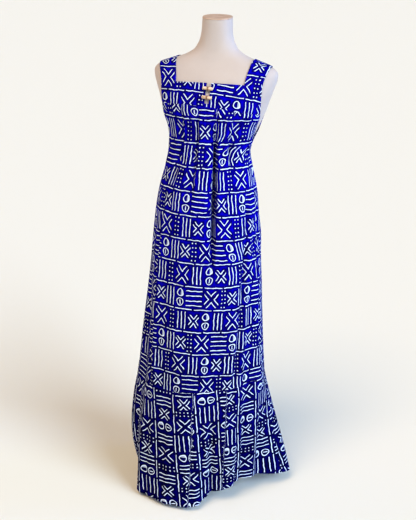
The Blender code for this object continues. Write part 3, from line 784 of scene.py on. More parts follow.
def mesh_object(name: str, points: Array, faces: list, finish: Material,
                grain: Array = None, sharp: float = 50.0) -> Object:
    """Smooth-shaded object from world points and faces.

    Args:
        name: Name of the piece.
        points: Its vertices.
        faces: Vertex numbers of each face, seen anticlockwise from outside.
        finish: Its material.
        grain: Place of each vertex on the cut cloth, in metres.
        sharp: Degrees above which an edge is shaded sharp.

    Returns:
        The new object.
    """
    mesh = bpy.data.meshes.new(name)
    mesh.from_pydata(points.tolist(), [], faces)
    mesh.shade_smooth()
    mesh.set_sharp_from_angle(angle=math.radians(sharp))
    if grain is not None:
        corners = np.zeros(len(mesh.loops), np.int32)
        mesh.loops.foreach_get("vertex_index", corners)
        layer = mesh.uv_layers.new(name=GRAIN)
        layer.data.foreach_set("uv", grain[corners].astype(np.float32).ravel())
    mesh.materials.append(finish)
    item = bpy.data.objects.new(name, mesh)
    bpy.context.scene.collection.objects.link(item)
    return item


def ring_faces(rings: int, sides: int) -> list:
    """Faces of a closed solid through rings of points.

    Args:
        rings: How many rings there are.
        sides: Points of each ring, anticlockwise as seen from the last one.

    Returns:
        Vertex numbers of each face: the walls, then the first end and the last.
    """
    step = np.arange(sides)
    beside = (step + 1) % sides
    low = np.arange(rings - 1)[:, None] * sides
    walls = np.stack((low + step, low + beside, low + sides + beside, low + sides + step),
                     axis=-1)
    last = (rings - 1) * sides
    return [*walls.reshape(-1, 4).tolist(), step[::-1].tolist(), (last + step).tolist()]


def joined(parts: list) -> tuple:
    """Several meshes as one.

    Args:
        parts: Points and faces of each.

    Returns:
        All the points and all the faces.
    """
    faces, start = [], 0
    for points, part_faces in parts:
        faces.extend([start + corner for corner in face] for face in part_faces)
        start += len(points)
    return np.concatenate([points for points, _ in parts]), faces


def stack_object(name: str, rings: list, finish: Material) -> Object:
    """Closed solid through rings of equally many points.

    Args:
        name: Name of the piece.
        rings: The rings, anticlockwise as seen from the last one.
        finish: Its material.

    Returns:
        The new object.
    """
    faces = ring_faces(len(rings), len(rings[0]))
    return mesh_object(name, np.concatenate(rings), faces, finish)


@dataclass
class Cloth:
    """Panel of cloth on a grid: outer and inner face, place on the cut cloth, cells kept."""

    outer: Array
    inner: Array
    grain: Array
    keep: Array

    def area(self) -> float:
        """Area of the outer face in square metres.

        Returns:
            The area.
        """
        across = self.outer[1:, 1:] - self.outer[:-1, :-1]
        along = self.outer[1:, :-1] - self.outer[:-1, 1:]
        cells = 0.5 * np.linalg.norm(np.cross(across, along), axis=-1)
        return float(cells[self.keep].sum())

    def build(self, name: str, finish: Material) -> Object:
        """Closed wall of cloth between the two faces.

        Args:
            name: Name of the piece.
            finish: Its material.

        Returns:
            The new object.
        """
        columns, rows = self.outer.shape[:2]
        number = np.arange(columns * rows).reshape(columns, rows)
        ring = np.stack((number[:-1, :-1], number[1:, :-1], number[1:, 1:], number[:-1, 1:]),
                        axis=-1)
        shift = columns * rows
        faces = [ring[self.keep], ring[self.keep][:, ::-1] + shift]
        padded = np.pad(self.keep, 1)
        beside = (padded[1:-1, :-2], padded[2:, 1:-1], padded[1:-1, 2:], padded[:-2, 1:-1])
        for corner, neighbour in enumerate(beside):
            rim = self.keep & ~neighbour
            start, end = ring[rim][:, corner], ring[rim][:, (corner + 1) % 4]
            faces.append(np.stack((end, start, start + shift, end + shift), axis=-1))
        faces = np.concatenate(faces)
        used, faces = np.unique(faces, return_inverse=True)
        points = np.concatenate((self.outer.reshape(-1, 3), self.inner.reshape(-1, 3)))[used]
        grain = np.tile(self.grain.reshape(-1, 2), (2, 1))[used]
        return mesh_object(name, points, faces.reshape(-1, 4).tolist(), finish, grain)


def face_normals(points: Array) -> Array:
    """Unit directions square to a grid of points whose columns run anticlockwise."""
    return unit(np.cross(np.gradient(points, axis=0), np.gradient(points, axis=1)))


def run_length(points: Array, axis: int) -> Array:
    """Length along each line of a grid, from its first point.

    Args:
        points: The grid.
        axis: Axis that the lines run along.

    Returns:
        One length for each point.
    """
    steps = np.linalg.norm(np.diff(points, axis=axis), axis=-1)
    start = np.zeros_like(np.take(steps, [0], axis=axis))
    return np.concatenate((start, np.cumsum(steps, axis=axis)), axis=axis)


@dataclass
class Panel:
    """Panel of the dress: its piece and solid, its cut, and where it lies on the cloth."""

    name: str
    node: str
    cut: DressCut
    side: Side
    held: str
    rests_on: tuple
    grain_at: tuple
    flat: tuple
    cut_area: float

    def cloth(self) -> Cloth:
        """Both faces of the panel, which each kind of panel works out."""
        raise NotImplementedError

    def seams(self) -> list:
        """Columns and rows of each row of stitches, which each kind of panel names."""
        raise NotImplementedError

    def edge_y(self, middle: float) -> float:
        """Y of the panel's edges, half a gap from the middle of its seam."""
        return middle + self.side.value * self.cut.gap / 2

    def placed(self, along: Array, upward: Array) -> Array:
        """Place on the cut cloth, with the panel's own start on it."""
        return np.stack((along + self.grain_at[0], upward + self.grain_at[1]), axis=-1)

    def build(self, finish: Material, sewing: "Sewing") -> None:
        """Make the panel and its rows of stitches.

        Args:
            finish: Printed cotton.
            sewing: Collects the stitches.
        """
        cloth = self.cloth()
        item = cloth.build(self.name, finish)
        dress_piece(item, "printed_cotton", self.node)
        LOG.info("%s: %.4f m2", self.name, cloth.area())
        normal = face_normals(cloth.outer)
        for where in self.seams():
            sewing.along(cloth.outer[where], normal[where])


@dataclass
class YokePanel(Panel):
    """Front or back yoke: a band with a square neck and two wide straps."""

    neck_angle: float
    neck_half: float = 0.103
    neck_half_top: float = 0.118
    strap_out_low: float = 0.152
    strap_out_top: float = 0.172
    slit_half: float = 0.0065
    slit_cells: int = 2
    strap_cells: int = 16
    neck_cells: int = 28
    seam_rows: int = 4
    seam_level: float = 1 / 3  # share of the band's rows that end at the slit's foot
    band_rows: int = 14
    neck_rows: int = 5
    strap_rows: int = 42
    shoulder_from: float = 80.0  # degrees from which the straps turn level
    shoulder_full: float = 89.9
    slit_stitch: float = 0.096  # columns of the stitches beside the slit
    neck_stitch: tuple = (0.09, 1.04)
    seam_stitch: int = 2

    def shares(self) -> Array:
        """Columns: -2 and 2 at the armholes, -1 and 1 at the straps' inner edges.

        Returns:
            Column places, anticlockwise from above.
        """
        slit = self.slit_half / self.neck_half
        right = stretches(0.0, (slit, self.slit_cells), (1.0, self.neck_cells),
                          (2.0, self.strap_cells))
        return -self.side.value * np.concatenate((-right[:0:-1], right))

    def across(self, share: Array, inner: Array, outer: Array) -> Array:
        """Place of columns between the edges of their row.

        Args:
            share: Column places.
            inner: x of the strap's inner edge.
            outer: x of the armhole.

        Returns:
            x of each column.
        """
        size = np.abs(share)
        x = np.where(size <= 1.0, size * inner, mix(inner, outer, size - 1.0))
        return np.sign(share) * x

    def band(self, share: Array) -> tuple:
        """Band between the seam and the straps.

        Args:
            share: Column places.

        Returns:
            Points on the form, outward directions, and the cloth's distance from the form.
        """
        cut, form = self.cut, self.cut.form
        level = stretches(0.0, (self.seam_level, self.seam_rows), (1.0, self.band_rows))
        share, level = np.meshgrid(share, level, indexing="ij")
        x = self.across(share, self.neck_half, mix(cut.yoke_half, self.strap_out_low, level))
        foot = cut.yoke_seam(x, self.side)
        above = (level - self.seam_level) / (1.0 - self.seam_level)
        height = np.where(above < 0.0, foot + level / self.seam_level * cut.slit_foot,
                          mix(foot + cut.slit_foot, cut.fan_height, above))
        base = form.at(x, height, self.side)
        normal = form.normal(base)
        normal[..., 2] *= smooth_step(level / self.seam_level)
        return base, normal, np.full_like(level, cut.ease_band)

    def straps(self, share: Array) -> tuple:
        """Neck edge and straps, which fan out over the shoulders.

        Args:
            share: Column places.

        Returns:
            Points on the form, outward directions, and the cloth's distance from the form.
        """
        cut, form = self.cut, self.cut.form
        angle = stretches(0.0, (self.neck_angle, self.neck_rows), (90.0, self.strap_rows))
        share, angle = np.meshgrid(share, angle[1:], indexing="ij")
        rise = smooth_step(angle / 90.0)
        x = self.across(share, mix(self.neck_half, self.neck_half_top, rise),
                        mix(self.strap_out_low, self.strap_out_top, rise))
        turn = np.radians(angle)
        way = np.stack((0 * turn, self.side.value * np.cos(turn), np.sin(turn)), axis=-1)
        centre = np.stack((x, 0 * x, 0 * x + cut.fan_height), axis=-1)
        base = centre + way * form.reach(centre, way)[..., None]
        normal = form.normal(base)
        normal[..., 1] *= 1.0 - ease(angle, self.shoulder_from, self.shoulder_full)
        return base, normal, mix(cut.ease_band, cut.ease_strap, rise)

    def cloth(self) -> Cloth:
        """Both faces of the yoke, row by row up from its seam.

        Returns:
            The cloth.
        """
        cut, share = self.cut, self.shares()
        base, normal, off = (np.concatenate(pair, axis=1)
                             for pair in zip(self.band(share), self.straps(share)))
        normal = unit(normal)
        outer, inner = (cut.lifted(base + normal * far[..., None], self.side)
                        for far in (off, off - cut.cloth))
        for face in (outer, inner):
            face[:, 0, 2] += cut.gap / 2
            face[:, -1, 1] = self.edge_y(0.0)
        return Cloth(outer, inner, self.grain(outer, share), self.kept(share))

    def neck_row(self) -> int:
        """Row of the neckline."""
        return self.seam_rows + self.band_rows + self.neck_rows

    def kept(self, share: Array) -> Array:
        """Cells of the band and the straps, without the neck and the slit.

        Args:
            share: Column places.

        Returns:
            True for each cell that is cloth.
        """
        rows = self.neck_row() + self.strap_rows
        keep = np.ones((len(share) - 1, rows), bool)
        middle = np.abs(share[1:] + share[:-1]) / 2
        keep[middle < 1.0, self.neck_row():] = False
        if self.side is Side.FRONT:
            keep[middle < self.slit_half / self.neck_half, self.seam_rows:] = False
        return keep

    def grain(self, outer: Array, share: Array) -> Array:
        """Place on the cut cloth: along the band from its middle, and up from the seam.

        Args:
            outer: Outer face.
            share: Column places.

        Returns:
            Metres along and across the grain for each point.
        """
        along = run_length(outer, 0)
        along -= along[len(share) // 2]
        neck = self.neck_row()
        for sign in (1.0, -1.0):
            edge, beyond = np.argmin(np.abs(share - sign)), share * sign >= 1.0
            shift = along[edge, neck] - along[edge, neck:]
            along[np.ix_(beyond, range(neck, along.shape[1]))] += shift
        return self.placed(along, run_length(outer, 1))

    def seams(self) -> list:
        """Stitches along the straps and armholes, the neck, the slit and the yoke seam.

        Returns:
            Columns and rows of each line of stitches.
        """
        share, neck = self.shares(), self.neck_row()
        size, lines = np.abs(share), []
        for sign in (-1, 1):
            inward = -self.side.value * sign
            lines.append((np.argmin(np.abs(share - sign)) + inward, slice(neck - 1, None)))
            lines.append((1 if inward < 0 else -2, slice(None)))
        start, end = self.neck_stitch
        if self.side is Side.BACK:
            return [*lines, (size <= end, neck - 1), (slice(None), self.seam_stitch)]
        for half in (share > 0, share < 0):
            lines.append((half & (size >= start) & (size <= end), neck - 1))
        for place in (-self.slit_stitch, self.slit_stitch):
            column = np.argmin(np.abs(share - place))
            lines.append((column, slice(self.seam_rows, neck)))
        return [*lines, (slice(None), self.seam_stitch)]


@dataclass
class SkirtPanel(Panel):
    """Front or back of the skirt, tucked under its yoke and flared to the flounce."""

    hidden: tuple  # tucks: angle, drift, width in degrees, cloth let in, end
    armhole_cells: int = 26
    seam_cells: int = 232
    seam_rounds: int = 8
    rows: tuple = ((0.14, 45), (0.975, 95), (1.0, 7))
    foot_dip: float = 0.0009  # the cloth is drawn in at its seams
    foot_over: float = 0.007
    top_dip: float = 0.0005
    top_over: float = 0.006
    tuck_from: float = 1.25
    tuck_full: float = 1.24
    beyond: float = 0.1  # the panel's lengths are carried on past its ends
    stitch_row: int = -3

    def columns(self) -> tuple:
        """Angles of the columns and the height of the panel's top at each.

        Returns:
            The angles and the heights.
        """
        cut, start = self.cut, self.side.start
        ends = np.array((-1.0, 1.0)) * cut.yoke_half * -self.side.value
        corner = cut.form.at(ends, cut.yoke_seam(ends, self.side), self.side)
        first, last = np.degrees(np.arctan2(corner[:, 1] - cut.axis_y, corner[:, 0])) % 360.0
        seam = np.linspace(first, last, self.seam_cells + 1)
        height = np.full_like(seam, cut.yoke_front)
        way = heading(seam)
        for _ in range(self.seam_rounds):
            centre = np.stack((0 * seam, 0 * seam + cut.axis_y, height), axis=-1)
            foot = centre + way * cut.form.reach(centre, way)[:, None]
            height = cut.yoke_seam(foot[:, 0], self.side)
        height = height - cut.gap / 2
        share = stretches(0.0, (1.0, self.armhole_cells))[1:]
        fall = share ** cut.armhole_power
        top = np.concatenate((mix(height[0], cut.armhole_foot, fall)[::-1], height,
                              mix(height[-1], cut.armhole_foot, fall)))
        return np.concatenate((mix(first, start, share)[::-1], seam,
                               mix(last, start + 180.0, share))), top

    def cloth(self) -> Cloth:
        """Both faces of the panel, row by row up from the flounce seam.

        Returns:
            The cloth.
        """
        cut = self.cut
        angles, top = self.columns()
        foot = cut.seam_points(angles)[:, 2] + cut.gap / 2
        angle, fall = np.meshgrid(angles, stretches(0.0, *self.rows)[::-1], indexing="ij")
        height = mix(top[:, None], foot[:, None], fall)
        near_foot = 1.0 - smooth_step((height - foot[:, None]) / self.foot_over)
        near_top = 1.0 - smooth_step((top[:, None] - height) / self.top_over)
        seam = np.zeros(len(angles), bool)
        seam[self.armhole_cells:-self.armhole_cells] = True
        dip = self.foot_dip * near_foot + self.top_dip * near_top * seam[:, None]
        outer = cut.skirt_points(angle, height) - heading(angle) * dip[..., None]
        outer = cut.lifted(outer, self.side)
        normal = face_normals(outer)
        normal[[0, -1], :, 1] = 0.0
        normal[seam, -1, 2] = 0.0
        normal[:, 0, 2] = 0.0
        inner = outer - unit(normal) * cut.cloth
        for face in (outer, inner):
            face[[0, -1], :, 1] = self.edge_y(cut.axis_y)
            face[:, 0, 2] = cut.flounce_height(face[:, 0, 0]) + cut.gap / 2
        keep = np.ones((len(angles) - 1, fall.shape[1] - 1), bool)
        return Cloth(outer, inner, self.grain(outer, angles, height), keep)

    def grain(self, outer: Array, angles: Array, height: Array) -> Array:
        """Place on the cut cloth: round from the middle, and up along the middle.

        Args:
            outer: Outer face.
            angles: Angles of the columns.
            height: Height of each point.

        Returns:
            Metres along and across the grain for each point.
        """
        middle = np.argmin(np.abs(angles - (self.side.start + 90.0)))
        along = run_length(outer, 0)
        along -= along[middle]
        for angle, drift, width, depth, end in self.hidden:
            at = turn_between(angles[:, None], angle - drift * (self.tuck_from - height))
            let_in = depth * ease(height, end, self.tuck_full)
            sign = np.sign(angle - angles[middle])
            along += sign * let_in * smooth_step(0.5 + sign * at / width)
        known, lengths = (
            np.concatenate(([line[0] - self.beyond], line, [line[-1] + self.beyond]))
            for line in (height[middle], run_length(outer[middle:middle + 1], 1)[0]))
        return self.placed(along, np.interp(height, known, lengths))

    def seams(self) -> list:
        """Stitches along the two armholes."""
        return [(slice(0, self.armhole_cells), self.stitch_row),
                (slice(-self.armhole_cells, None), self.stitch_row)]


@dataclass
class FlouncePanel(Panel):
    """Front or back of the flounce, cut across the cloth so that its print lies down."""

    hidden: tuple = ()  # deep folds: angle, and the cloth that each takes up
    hidden_width: float = 1.2
    follow: float = 0.65  # how far the rows follow the folds down
    lean: float = 0.0
    slack: float = 0.90  # cloth taken up by the small crumples down its length
    cells: int = 260
    rows: tuple = ((0.03, 5), (0.93, 47), (1.0, 7))
    hem_swell: float = 0.0004  # the turned-up hem is thicker
    hem_from: float = 0.957
    hem_full: float = 0.963
    seam_dip: float = 0.0009
    seam_over: float = 0.018
    stitch_row: int = 4

    def cloth(self) -> Cloth:
        """Both faces of the flounce, row by row up from the hem.

        Returns:
            The cloth.
        """
        cut = self.cut
        angles = self.side.start + stretches(0.0, (180.0, self.cells))
        angle, share = np.meshgrid(angles, stretches(0.0, *self.rows)[::-1], indexing="ij")
        hem = self.hem_swell * ease(share, self.hem_from, self.hem_full)
        change = hem - self.seam_dip * (1.0 - smooth_step(share / self.seam_over))
        outer = cut.flounce_points(angle, share) + heading(angle) * change[..., None]
        normal = face_normals(outer)
        normal[[0, -1], :, 1] = 0.0
        normal[:, -1, 2] = 0.0
        inner = outer - unit(normal) * (cut.cloth + hem)[..., None]
        for face in (outer, inner):
            face[[0, -1], :, 1] = self.edge_y(cut.axis_y)
            face[:, -1, 2] = cut.flounce_height(face[:, -1, 0]) - cut.gap / 2
        keep = np.ones((self.cells, share.shape[1] - 1), bool)
        return Cloth(outer, inner, self.grain(outer, angles), keep)

    def grain(self, outer: Array, angles: Array) -> Array:
        """Place on the cut cloth, which is turned a quarter: its rows run up the flounce.

        Args:
            outer: Outer face.
            angles: Angles of the columns.

        Returns:
            Metres along and across the grain for each point.
        """
        along = run_length(outer, 0)
        along -= along[self.cells // 2]
        along = mix(along, along[:, -1:], self.follow)
        down = run_length(outer[:, ::-1], 1)[:, ::-1]
        for angle, let_in in self.hidden:
            at = turn_between(angles, angle)[:, None]
            along = along + let_in * smooth_step(0.5 + at / self.hidden_width)
        return self.placed(-self.slack * down, self.lean * down - along)

    def seams(self) -> list:
        """Stitches of the hem."""
        return [(slice(None), self.stitch_row)]


def add_node(tree: NodeTree, kind: str, inputs: dict = None, **settings: object) -> Node:
    """Add a node, set it up and fill or link its inputs.

    Args:
        tree: Node tree that it goes into.
        kind: Type of the node.
        inputs: Values, sockets, or nodes for their first output, by the input's name
            or number.
        settings: Properties of the node.

    Returns:
        The new node.
    """
    node = tree.nodes.new(kind)
    for name, value in settings.items():
        setattr(node, name, value)
    for place, value in (inputs or {}).items():
        if isinstance(value, Node):
            value = value.outputs[0]
        if isinstance(value, NodeSocket):
            tree.links.new(value, node.inputs[place])
        else:
            node.inputs[place].default_value = value
    return node


def new_finish(name: str, roughness: float, ior: float = 1.5, specular: float = 0.5) -> tuple:
    """New material and the parts that a finish needs.

    Args:
        name: Name of the real material.
        roughness: Roughness of its surface.
        ior: Index of refraction.
        specular: Strength of its gloss, 0.5 for plain dielectrics.

    Returns:
        The material, its node tree and its shader.
    """
    material = bpy.data.materials.new(name)
    material.use_nodes = True
    tree = material.node_tree
    shader = tree.nodes["Principled BSDF"]
    for socket, value in (("Roughness", roughness), ("IOR", ior), ("Metallic", 0.0),
                          ("Specular IOR Level", specular)):
        shader.inputs[socket].default_value = value
    return material, tree, shader


def two_tones(tree: NodeTree, shader: Node, share: Node, tones: tuple, height: Node,
              strength: float, depth: float) -> None:
    """Blend two tones over a surface and give it fine relief.

    Args:
        tree: Node tree of the material.
        shader: Its shader.
        share: 0 where the first tone shows and 1 where the second does.
        tones: Their sRGB hex values.
        height: Height of the relief, from 0 to 1.
        strength: How strongly the relief shows.
        depth: Depth of the relief in metres.
    """
    low, high = (linear(tone) for tone in tones)
    blend = add_node(tree, "ShaderNodeMix", {0: share, LOW_TONE: low, HIGH_TONE: high},
                     data_type="RGBA")
    tree.links.new(blend.outputs[MIXED_TONE], shader.inputs["Base Color"])
    relief = add_node(tree, "ShaderNodeBump",
                      {"Strength": strength, "Distance": depth, "Height": height})
    tree.links.new(relief.outputs[0], shader.inputs["Normal"])


class Motif(Enum):
    """Block of the print: its number in the chart and its width in millimetres."""

    CROSS = (1, 52.0)
    SMALL_CROSS = (2, 34.0)
    BARS = (3, 36.0)
    LINES = (4, 54.0)
    DOTS = (5, 22.0)
    SHELLS = (6, 33.0)


MILLIMETRES = 1000.0  # in a metre
REPEAT = 236.0  # width of the chart in millimetres
ROW_PITCH = 72.5  # from one row of blocks to the next
CODES = 8.0  # scale of a block's number in the chart's colours
HALF_CODE = 0.5  # numbers nearer than this are the same
FAR = 100.0  # millimetres, further than any stroke of a block
EDGE = 0.35  # millimetres, softness of a printed edge
BLEED = 8.0  # millimetres, reach of the deeper dye beside a stroke
WAVE_SPAN = math.tau / 20.0  # metres between a wave texture's bands at scale 1


class ChartRow(NamedTuple):
    """Blocks of one row, which of them lies at the middle, and how far beside it."""

    blocks: tuple
    middle: int
    beside: float

    def span(self, motif: Motif) -> float:
        """Width of a block with its share of the room between blocks."""
        room = REPEAT - sum(item.value[1] for item in self.blocks)
        return motif.value[1] + room / len(self.blocks)

    def start(self) -> float:
        """Distance from the start of the row to the middle of the panel."""
        before = sum(self.span(motif) for motif in self.blocks[:self.middle])
        return before + 0.5 * self.span(self.blocks[self.middle]) - self.beside


# Four rows of the chart, from the lowest up
CHART = (
    ChartRow((Motif.CROSS, Motif.BARS, Motif.SHELLS, Motif.SMALL_CROSS, Motif.BARS,
              Motif.DOTS), 1, 6.0),
    ChartRow((Motif.LINES, Motif.SHELLS, Motif.BARS, Motif.SMALL_CROSS, Motif.DOTS,
              Motif.CROSS), 4, -7.0),
    ChartRow((Motif.CROSS, Motif.DOTS, Motif.BARS, Motif.SMALL_CROSS, Motif.SHELLS,
              Motif.BARS), 3, 2.0),
    ChartRow((Motif.BARS, Motif.SHELLS, Motif.LINES, Motif.CROSS, Motif.DOTS,
              Motif.SMALL_CROSS), 2, 0.0),
)


class Step(NamedTuple):
    """One sum of the print: its name, what it does, what with, and if it stays in 0 to 1."""

    name: str
    operation: str
    values: tuple
    clamp: bool = False


def ended(name: str, stroke: str, half_width: float, half_height: float,
          across: str = "ax", upward: str = "ay") -> tuple:
    """Steps that end a block's strokes at its edges.

    Args:
        name: Name of the result.
        stroke: Distance from the nearest stroke, without ends.
        half_width: Half the block's width in millimetres.
        half_height: Half its height.
        across: Distance from its middle across.
        upward: Distance from its middle upward.

    Returns:
        The steps.
    """
    return (Step(name + "_side", "SUBTRACT", (across, half_width)),
            Step(name + "_end", "SUBTRACT", (upward, half_height)),
            Step(name + "_edge", "MAXIMUM", (name + "_side", name + "_end")),
            Step(name, "MAXIMUM", (stroke, name + "_edge")))


def repeated(name: str, place: str, half_pitch: float) -> tuple:
    """Steps to the distance from the nearest of evenly spaced lines.

    Args:
        name: Name of the result.
        place: Place across the lines.
        half_pitch: Half the millimetres between two lines.

    Returns:
        The steps.
    """
    return (Step(name + "_from", "WRAP", (place, half_pitch, -half_pitch)),
            Step(name, "ABSOLUTE", (name + "_from",)))


def nearer(shown: str, stroke: str) -> tuple:
    """Steps that take a stroke into the distance wherever its block is shown.

    Args:
        shown: 1 in the stroke's own block and 0 elsewhere.
        stroke: Distance from the stroke.

    Returns:
        The steps.
    """
    return (Step("away", "MULTIPLY_ADD", (shown, -FAR, FAR)),
            Step("stroke", "ADD", (stroke, "away")),
            Step("distance", "MINIMUM", ("distance", "stroke")))


# Place in the chart. u and v are millimetres on the cloth.
PLACE_STEPS = (
    Step("row_share", "DIVIDE", ("v", ROW_PITCH)),
    Step("row", "FLOOR", ("row_share",)),
    Step("fraction", "SUBTRACT", ("row_share", "row")),
    Step("centred", "SUBTRACT", ("fraction", 0.5)),
    Step("y", "MULTIPLY", ("centred", ROW_PITCH)),
    Step("kind", "FLOORED_MODULO", ("row", float(len(CHART)))),
)

# The strokes' own sizes in millimetres. A pitch is given by its half, and so is a
# block's width and height.
SMALLER = 0.26  # share that the small cross is smaller by
ARM_COSINE, ARM_SINE = 0.768, 0.640
ARM_APART = 6.4  # from the middle of an arm to each of its two strokes
ARM_BLOCK = (20.0, 25.5)
BAR_PITCH, BAR_BLOCK = 5.9, (14.0, 26.5)
LINE_PITCH, LINE_BLOCK = 7.75, (23.5, 26.0)
DOT_ACROSS, DOT_UPWARD, DOT_BLOCK = 5.2, 6.5, (8.0, 27.5)
DOT_SIZE = 0.4  # what a square dot has more than a stroke
SHELL_MIDDLE = 15.2  # height of a shell's middle from the block's
SHELL_TAPER = 0.022  # the shells narrow toward the block's ends
SHELL_WIDTH, SHELL_HEIGHT, SHELL_RING = 12.0, 13.0, 0.82
SHELL_FILL = 1.5  # the upper shell is filled from here across
FILL_MORE = 2.0
FILL_CLEAR = 1.9  # the fill is thinner from here inward
NOTCH = 5.0  # half length of the cut in the lower shell
DASH_SHIFT, DASH_PITCH, DASH_HALF = 31.0, 30.5, 26.0

# Distance in millimetres from the middle of the nearest stroke
STROKE_STEPS = (
    Step("x", "MULTIPLY_ADD", ("block", -REPEAT, "place")),
    Step("ax", "ABSOLUTE", ("x",)),
    Step("ay", "ABSOLUTE", ("y",)),
    *(Step("is_" + motif.name.lower(), "COMPARE", ("code", float(motif.value[0]), HALF_CODE))
      for motif in Motif),
    Step("size", "MULTIPLY_ADD", ("is_small_cross", -SMALLER, 1.0)),
    Step("arm_x", "DIVIDE", ("ax", "size")),
    Step("arm_y", "DIVIDE", ("ay", "size")),
    Step("arm_down", "MULTIPLY", ("arm_y", ARM_SINE)),
    Step("arm_up", "MULTIPLY", ("arm_x", ARM_COSINE)),
    Step("arm_from", "SUBTRACT", ("arm_up", "arm_down")),
    Step("arm_off", "ABSOLUTE", ("arm_from",)),
    Step("arm_beside", "SUBTRACT", ("arm_off", ARM_APART)),
    Step("arm_line", "ABSOLUTE", ("arm_beside",)),
    *ended("arm", "arm_line", *ARM_BLOCK, "arm_x", "arm_y"),
    Step("cross", "MULTIPLY", ("arm", "size")),
    *repeated("bar_line", "x", BAR_PITCH),
    *ended("bars", "bar_line", *BAR_BLOCK),
    Step("line_y", "SUBTRACT", ("y", LINE_PITCH)),
    *repeated("line_line", "line_y", LINE_PITCH),
    *ended("lines", "line_line", *LINE_BLOCK),
    Step("dot_x", "SUBTRACT", ("x", DOT_ACROSS)),
    *repeated("dot_ax", "dot_x", DOT_ACROSS),
    *repeated("dot_ay", "y", DOT_UPWARD),
    Step("dot_square", "MAXIMUM", ("dot_ax", "dot_ay")),
    Step("dot", "SUBTRACT", ("dot_square", DOT_SIZE)),
    *ended("dots", "dot", *DOT_BLOCK),
    Step("shell_y", "SUBTRACT", ("ay", SHELL_MIDDLE)),
    Step("taper", "MULTIPLY_ADD", ("shell_y", SHELL_TAPER, 1.0)),
    Step("shell_x", "MULTIPLY", ("x", "taper")),
    Step("oval_x", "DIVIDE", ("shell_x", SHELL_WIDTH)),
    Step("oval_y", "DIVIDE", ("shell_y", SHELL_HEIGHT)),
    Step("oval_xx", "MULTIPLY", ("oval_x", "oval_x")),
    Step("oval_sum", "MULTIPLY_ADD", ("oval_y", "oval_y", "oval_xx")),
    Step("oval", "SQRT", ("oval_sum",)),
    Step("oval_off", "SUBTRACT", ("oval", SHELL_RING)),
    Step("oval_out", "MULTIPLY", ("oval_off", SHELL_HEIGHT)),
    Step("shell_ring", "ABSOLUTE", ("oval_out",)),
    Step("half_from", "SUBTRACT", (SHELL_FILL, "x")),
    Step("half_fill", "MAXIMUM", ("oval_out", "half_from")),
    Step("fill", "ADD", ("half_fill", FILL_MORE)),
    Step("notch_end", "ABSOLUTE", ("shell_y",)),
    Step("notch_over", "SUBTRACT", ("notch_end", NOTCH)),
    Step("notch", "MAXIMUM", ("ax", "notch_over")),
    Step("is_upper", "GREATER_THAN", ("y", 0.0)),
    Step("fill_more", "SUBTRACT", ("fill", "notch")),
    Step("shell_in", "MULTIPLY_ADD", ("is_upper", "fill_more", "notch")),
    Step("shells", "MINIMUM", ("shell_ring", "shell_in")),
    Step("edge", "ROUND", ("row_share",)),
    Step("dash_u", "MULTIPLY_ADD", ("edge", DASH_SHIFT, "u")),
    *repeated("dash_ax", "dash_u", DASH_PITCH),
    Step("dash_end", "SUBTRACT", ("dash_ax", DASH_HALF)),
    Step("dash_y", "SUBTRACT", (ROW_PITCH / 2, "ay")),
    Step("distance", "MAXIMUM", ("dash_y", "dash_end")),
    Step("is_either", "ADD", ("is_cross", "is_small_cross")),
    *nearer("is_either", "cross"),
    *(step for name in ("bars", "lines", "dots", "shells")
      for step in nearer("is_" + name, name)),
)

POOL_SPREAD, POOL_LEAST = 0.7, -0.20  # clouds of deeper dye in the open blue
RIM_DEPTH = 0.95  # deeper dye along the strokes
WORN, COVERED = -0.22, 1.06  # white that has gone thin
BLUE_ROUGHNESS, WHITE_ROUGHER = 0.82, 0.06

# How much blue and white show, from the distance and from how unevenly cloth takes dye
DYE_STEPS = (
    Step("over", "SUBTRACT", ("half", "distance")),
    Step("ink", "MULTIPLY_ADD", ("over", 0.5 / EDGE, 0.5), True),
    Step("beside", "MULTIPLY_ADD", ("over", 1.0 / BLEED, 1.0), True),
    Step("pool", "MULTIPLY_ADD", ("cloud", POOL_SPREAD, POOL_LEAST)),
    Step("deep", "MULTIPLY_ADD", ("beside", RIM_DEPTH, "pool"), True),
    Step("cover", "MULTIPLY_ADD", ("wear", WORN, COVERED), True),
    Step("upper_shell", "MULTIPLY", ("is_shells", "is_upper")),
    Step("off_ring", "SUBTRACT", ("shell_ring", FILL_CLEAR)),
    Step("inside", "MULTIPLY", ("off_ring", "upper_shell"), True),
    Step("thin", "MULTIPLY_ADD", ("inside", "less_fill", "cover")),
    Step("shown", "MULTIPLY", ("ink", "thin")),
    Step("roughness", "MULTIPLY_ADD", ("shown", WHITE_ROUGHER, BLUE_ROUGHNESS)),
)

# Uneven ground of the print: its name, the size of its patches in millimetres, its detail
GROUNDS = (("shift", 22.0, 1.5), ("uneven", 9.0, 2.0), ("cloud", 34.0, 4.0),
           ("wear", 3.5, 2.0))


